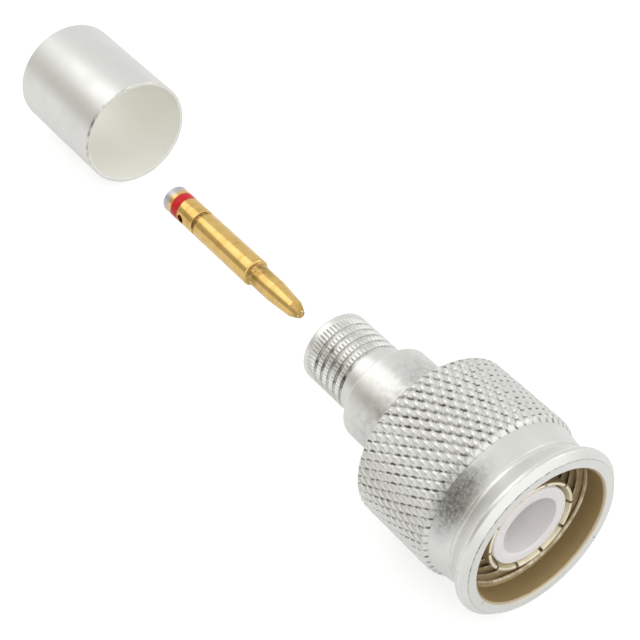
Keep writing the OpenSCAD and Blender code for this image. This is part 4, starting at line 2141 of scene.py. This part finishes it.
@dataclass(frozen=True)
class Studio:
    """A white table in soft light, seen from the photograph's viewpoint.

    Attributes:
        eye: Place of the camera.
        aim: Point that it looks at.
        lens: Focal length.
        sensor: Width of the sensor.
        nearest: Distance from which the camera sees things.
        table: Height of the table, where the flange touches it.
        table_half: Half the side of the table.
        table_grey: Colour of the table's paint, under its own glow.
        seen_straight: How much the table glows for rays from the camera.
        seen_mirrored: How much it glows for rays from a mirror.
        seen_through: How much it glows for rays through glass.
        daylight: Level of the light from all round.
        day_tint: Its colour.
        dusk: Level of the light from the darker side.
        dusk_tint: Its colour.
        dusk_side: Direction of the darker side.
        dusk_span: Nearness to that direction where the dusk starts and where it is full.
        front_light: How much more light comes from in front of the nut.
        front_side: Direction of that light.
        front_span: Nearness to that direction where it starts and where it is full.
        lamps: The lamps over the table.
    """

    eye: tuple[float, float, float] = (80.981, -87.847, 135.788)
    aim: tuple[float, float, float] = (-41.094, 1.272, 0.0)
    lens: float = 96.088
    sensor: float = 36.0
    nearest: float = 10.0
    table: float = -10.82
    table_half: float = 2000.0
    table_grey: Rgb = (0.5, 0.5, 0.5)
    seen_straight: float = 0.66
    seen_mirrored: float = 0.42
    seen_through: float = 0.66
    daylight: float = 0.84
    day_tint: Rgb = (1.0, 1.0, 0.99)
    dusk: float = 0.52
    dusk_tint: Rgb = (1.0, 0.97, 0.88)
    dusk_side: tuple[float, float, float] = (-0.35, -0.92, 0.05)
    dusk_span: Span = (0.45, 0.95)
    front_light: float = 0.35
    front_side: tuple[float, float, float] = (0.93, 0.0, 0.37)
    front_span: Span = (0.35, 0.95)
    lamps: tuple[Softbox, ...] = (
        Softbox("key", towards=(-0.57, -0.28, 0.77), distance=420.0, size=330.0, level=0.72),
        Softbox("fill", towards=(0.3, 0.75, 0.6), distance=480.0, size=260.0, level=0.6),
    )

    def camera(self) -> None:
        """Places the camera."""
        eye, aim = Vector(self.eye), Vector(self.aim)
        data = bpy.data.cameras.new("photo_camera")
        data.lens = self.lens
        data.sensor_width = self.sensor
        data.clip_start = self.nearest * MM
        camera = bpy.data.objects.new("photo_camera", data)
        camera.location = eye * MM
        camera.rotation_euler = (aim - eye).to_track_quat("-Z", "Y").to_euler()
        bpy.context.scene.collection.objects.link(camera)
        bpy.context.scene.camera = camera

    def seen(self, graph: Graph) -> Socket:
        """Works out the table's own glow, which depends on how it is looked at.

        Args:
            graph: The table's nodes.

        Returns:
            The strength of the glow.
        """
        path = graph.add("ShaderNodeLightPath")
        straight = graph.math("MULTIPLY", path.outputs["Is Camera Ray"], self.seen_straight)
        mirrored = graph.math("MULTIPLY", path.outputs["Is Glossy Ray"], self.seen_mirrored)
        through = graph.math("MULTIPLY", path.outputs["Is Transmission Ray"], self.seen_through)
        return graph.math("ADD", straight, graph.math("ADD", mirrored, through))

    def sky(self, graph: Graph) -> Node:
        """Builds the light from all round, darker at one side and brighter in front of the nut.

        Args:
            graph: The world's nodes.

        Returns:
            The background that gives this light.
        """
        heading = graph.add("ShaderNodeTexCoord").outputs["Generated"]
        dusk_side = tuple(Vector(self.dusk_side).normalized())
        to_dusk = graph.vector("DOT_PRODUCT", heading, dusk_side).outputs["Value"]
        dim = graph.remap(to_dusk, self.dusk_span, smooth=True)
        level = graph.math("MULTIPLY_ADD", dim, self.dusk - self.daylight, self.daylight)
        to_front = graph.vector("DOT_PRODUCT", heading, self.front_side).outputs["Value"]
        front = graph.remap(to_front, self.front_span, (0.0, self.front_light), smooth=True)
        shade = graph.add("ShaderNodeBackground")
        graph.feed(shade.inputs[0], graph.blend(dim, self.day_tint, self.dusk_tint))
        graph.feed(shade.inputs[1], graph.math("ADD", level, front))
        return shade

    def world(self) -> None:
        """Sets the light from all round, behind a background that the camera sees as white."""
        world = bpy.data.worlds.new("studio")
        world.use_nodes = True
        world.node_tree.nodes.clear()
        graph = Graph(world.node_tree)
        shade = self.sky(graph)
        white = graph.add("ShaderNodeBackground")
        graph.feed(white.inputs[0], WHITE)
        mix = graph.add("ShaderNodeMixShader")
        straight = graph.add("ShaderNodeLightPath").outputs["Is Camera Ray"]
        for socket, value in zip(mix.inputs, (straight, shade.outputs[0], white.outputs[0])):
            graph.feed(socket, value)
        graph.feed(graph.add("ShaderNodeOutputWorld").inputs[0], mix.outputs[0])
        bpy.context.scene.world = world

    def paint(self) -> bpy.types.Material:
        """Builds the table's material, a grey that catches shadows under a white glow.

        Returns:
            The material.
        """
        material = bpy.data.materials.new("white_table")
        material.use_nodes = True
        material.node_tree.nodes.clear()
        graph = Graph(material.node_tree)
        grey = graph.add("ShaderNodeBsdfDiffuse")
        graph.feed(grey.inputs[0], self.table_grey)
        glow = graph.add("ShaderNodeEmission")
        graph.feed(glow.inputs[1], self.seen(graph))
        both = graph.add("ShaderNodeAddShader")
        graph.feed(both.inputs[0], grey.outputs[0])
        graph.feed(both.inputs[1], glow.outputs[0])
        graph.feed(graph.add("ShaderNodeOutputMaterial").inputs[0], both.outputs[0])
        return material

    def floor(self) -> None:
        """Lays the white table, which keeps the plug's shadow."""
        half, height = self.table_half * MM, self.table * MM
        corners = [(x * half, y * half, height) for x, y in ((-1, -1), (1, -1), (1, 1), (-1, 1))]
        mesh = bpy.data.meshes.new("table")
        mesh.from_pydata(corners, [], [(0, 1, 2, 3)])
        mesh.materials.append(self.paint())
        table = bpy.data.objects.new("table", mesh)
        bpy.context.scene.collection.objects.link(table)

    def build(self) -> None:
        """Sets up the whole studio."""
        self.camera()
        self.world()
        self.floor()
        for lamp in self.lamps:
            lamp.hang(Vector(self.aim))
        bpy.context.scene.view_settings.view_transform = "Standard"


def main() -> None:
    """Builds the studio and every piece, and logs each piece's triangles."""
    logging.basicConfig(level=logging.INFO, format="%(message)s")
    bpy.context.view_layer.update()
    Studio().build()
    pieces: list[Piece] = [
        CouplingNut(), ConnectorBody(), RetainingRing(), FaceGasket(), OuterContact(),
        FrontInsulator(), RearInsulator(), CentreContact(), CrimpFerrule(),
    ]
    for piece in pieces:
        piece.make()
    LOG.info("%d pieces made", len(pieces))


if __name__ == "__main__":
    main()
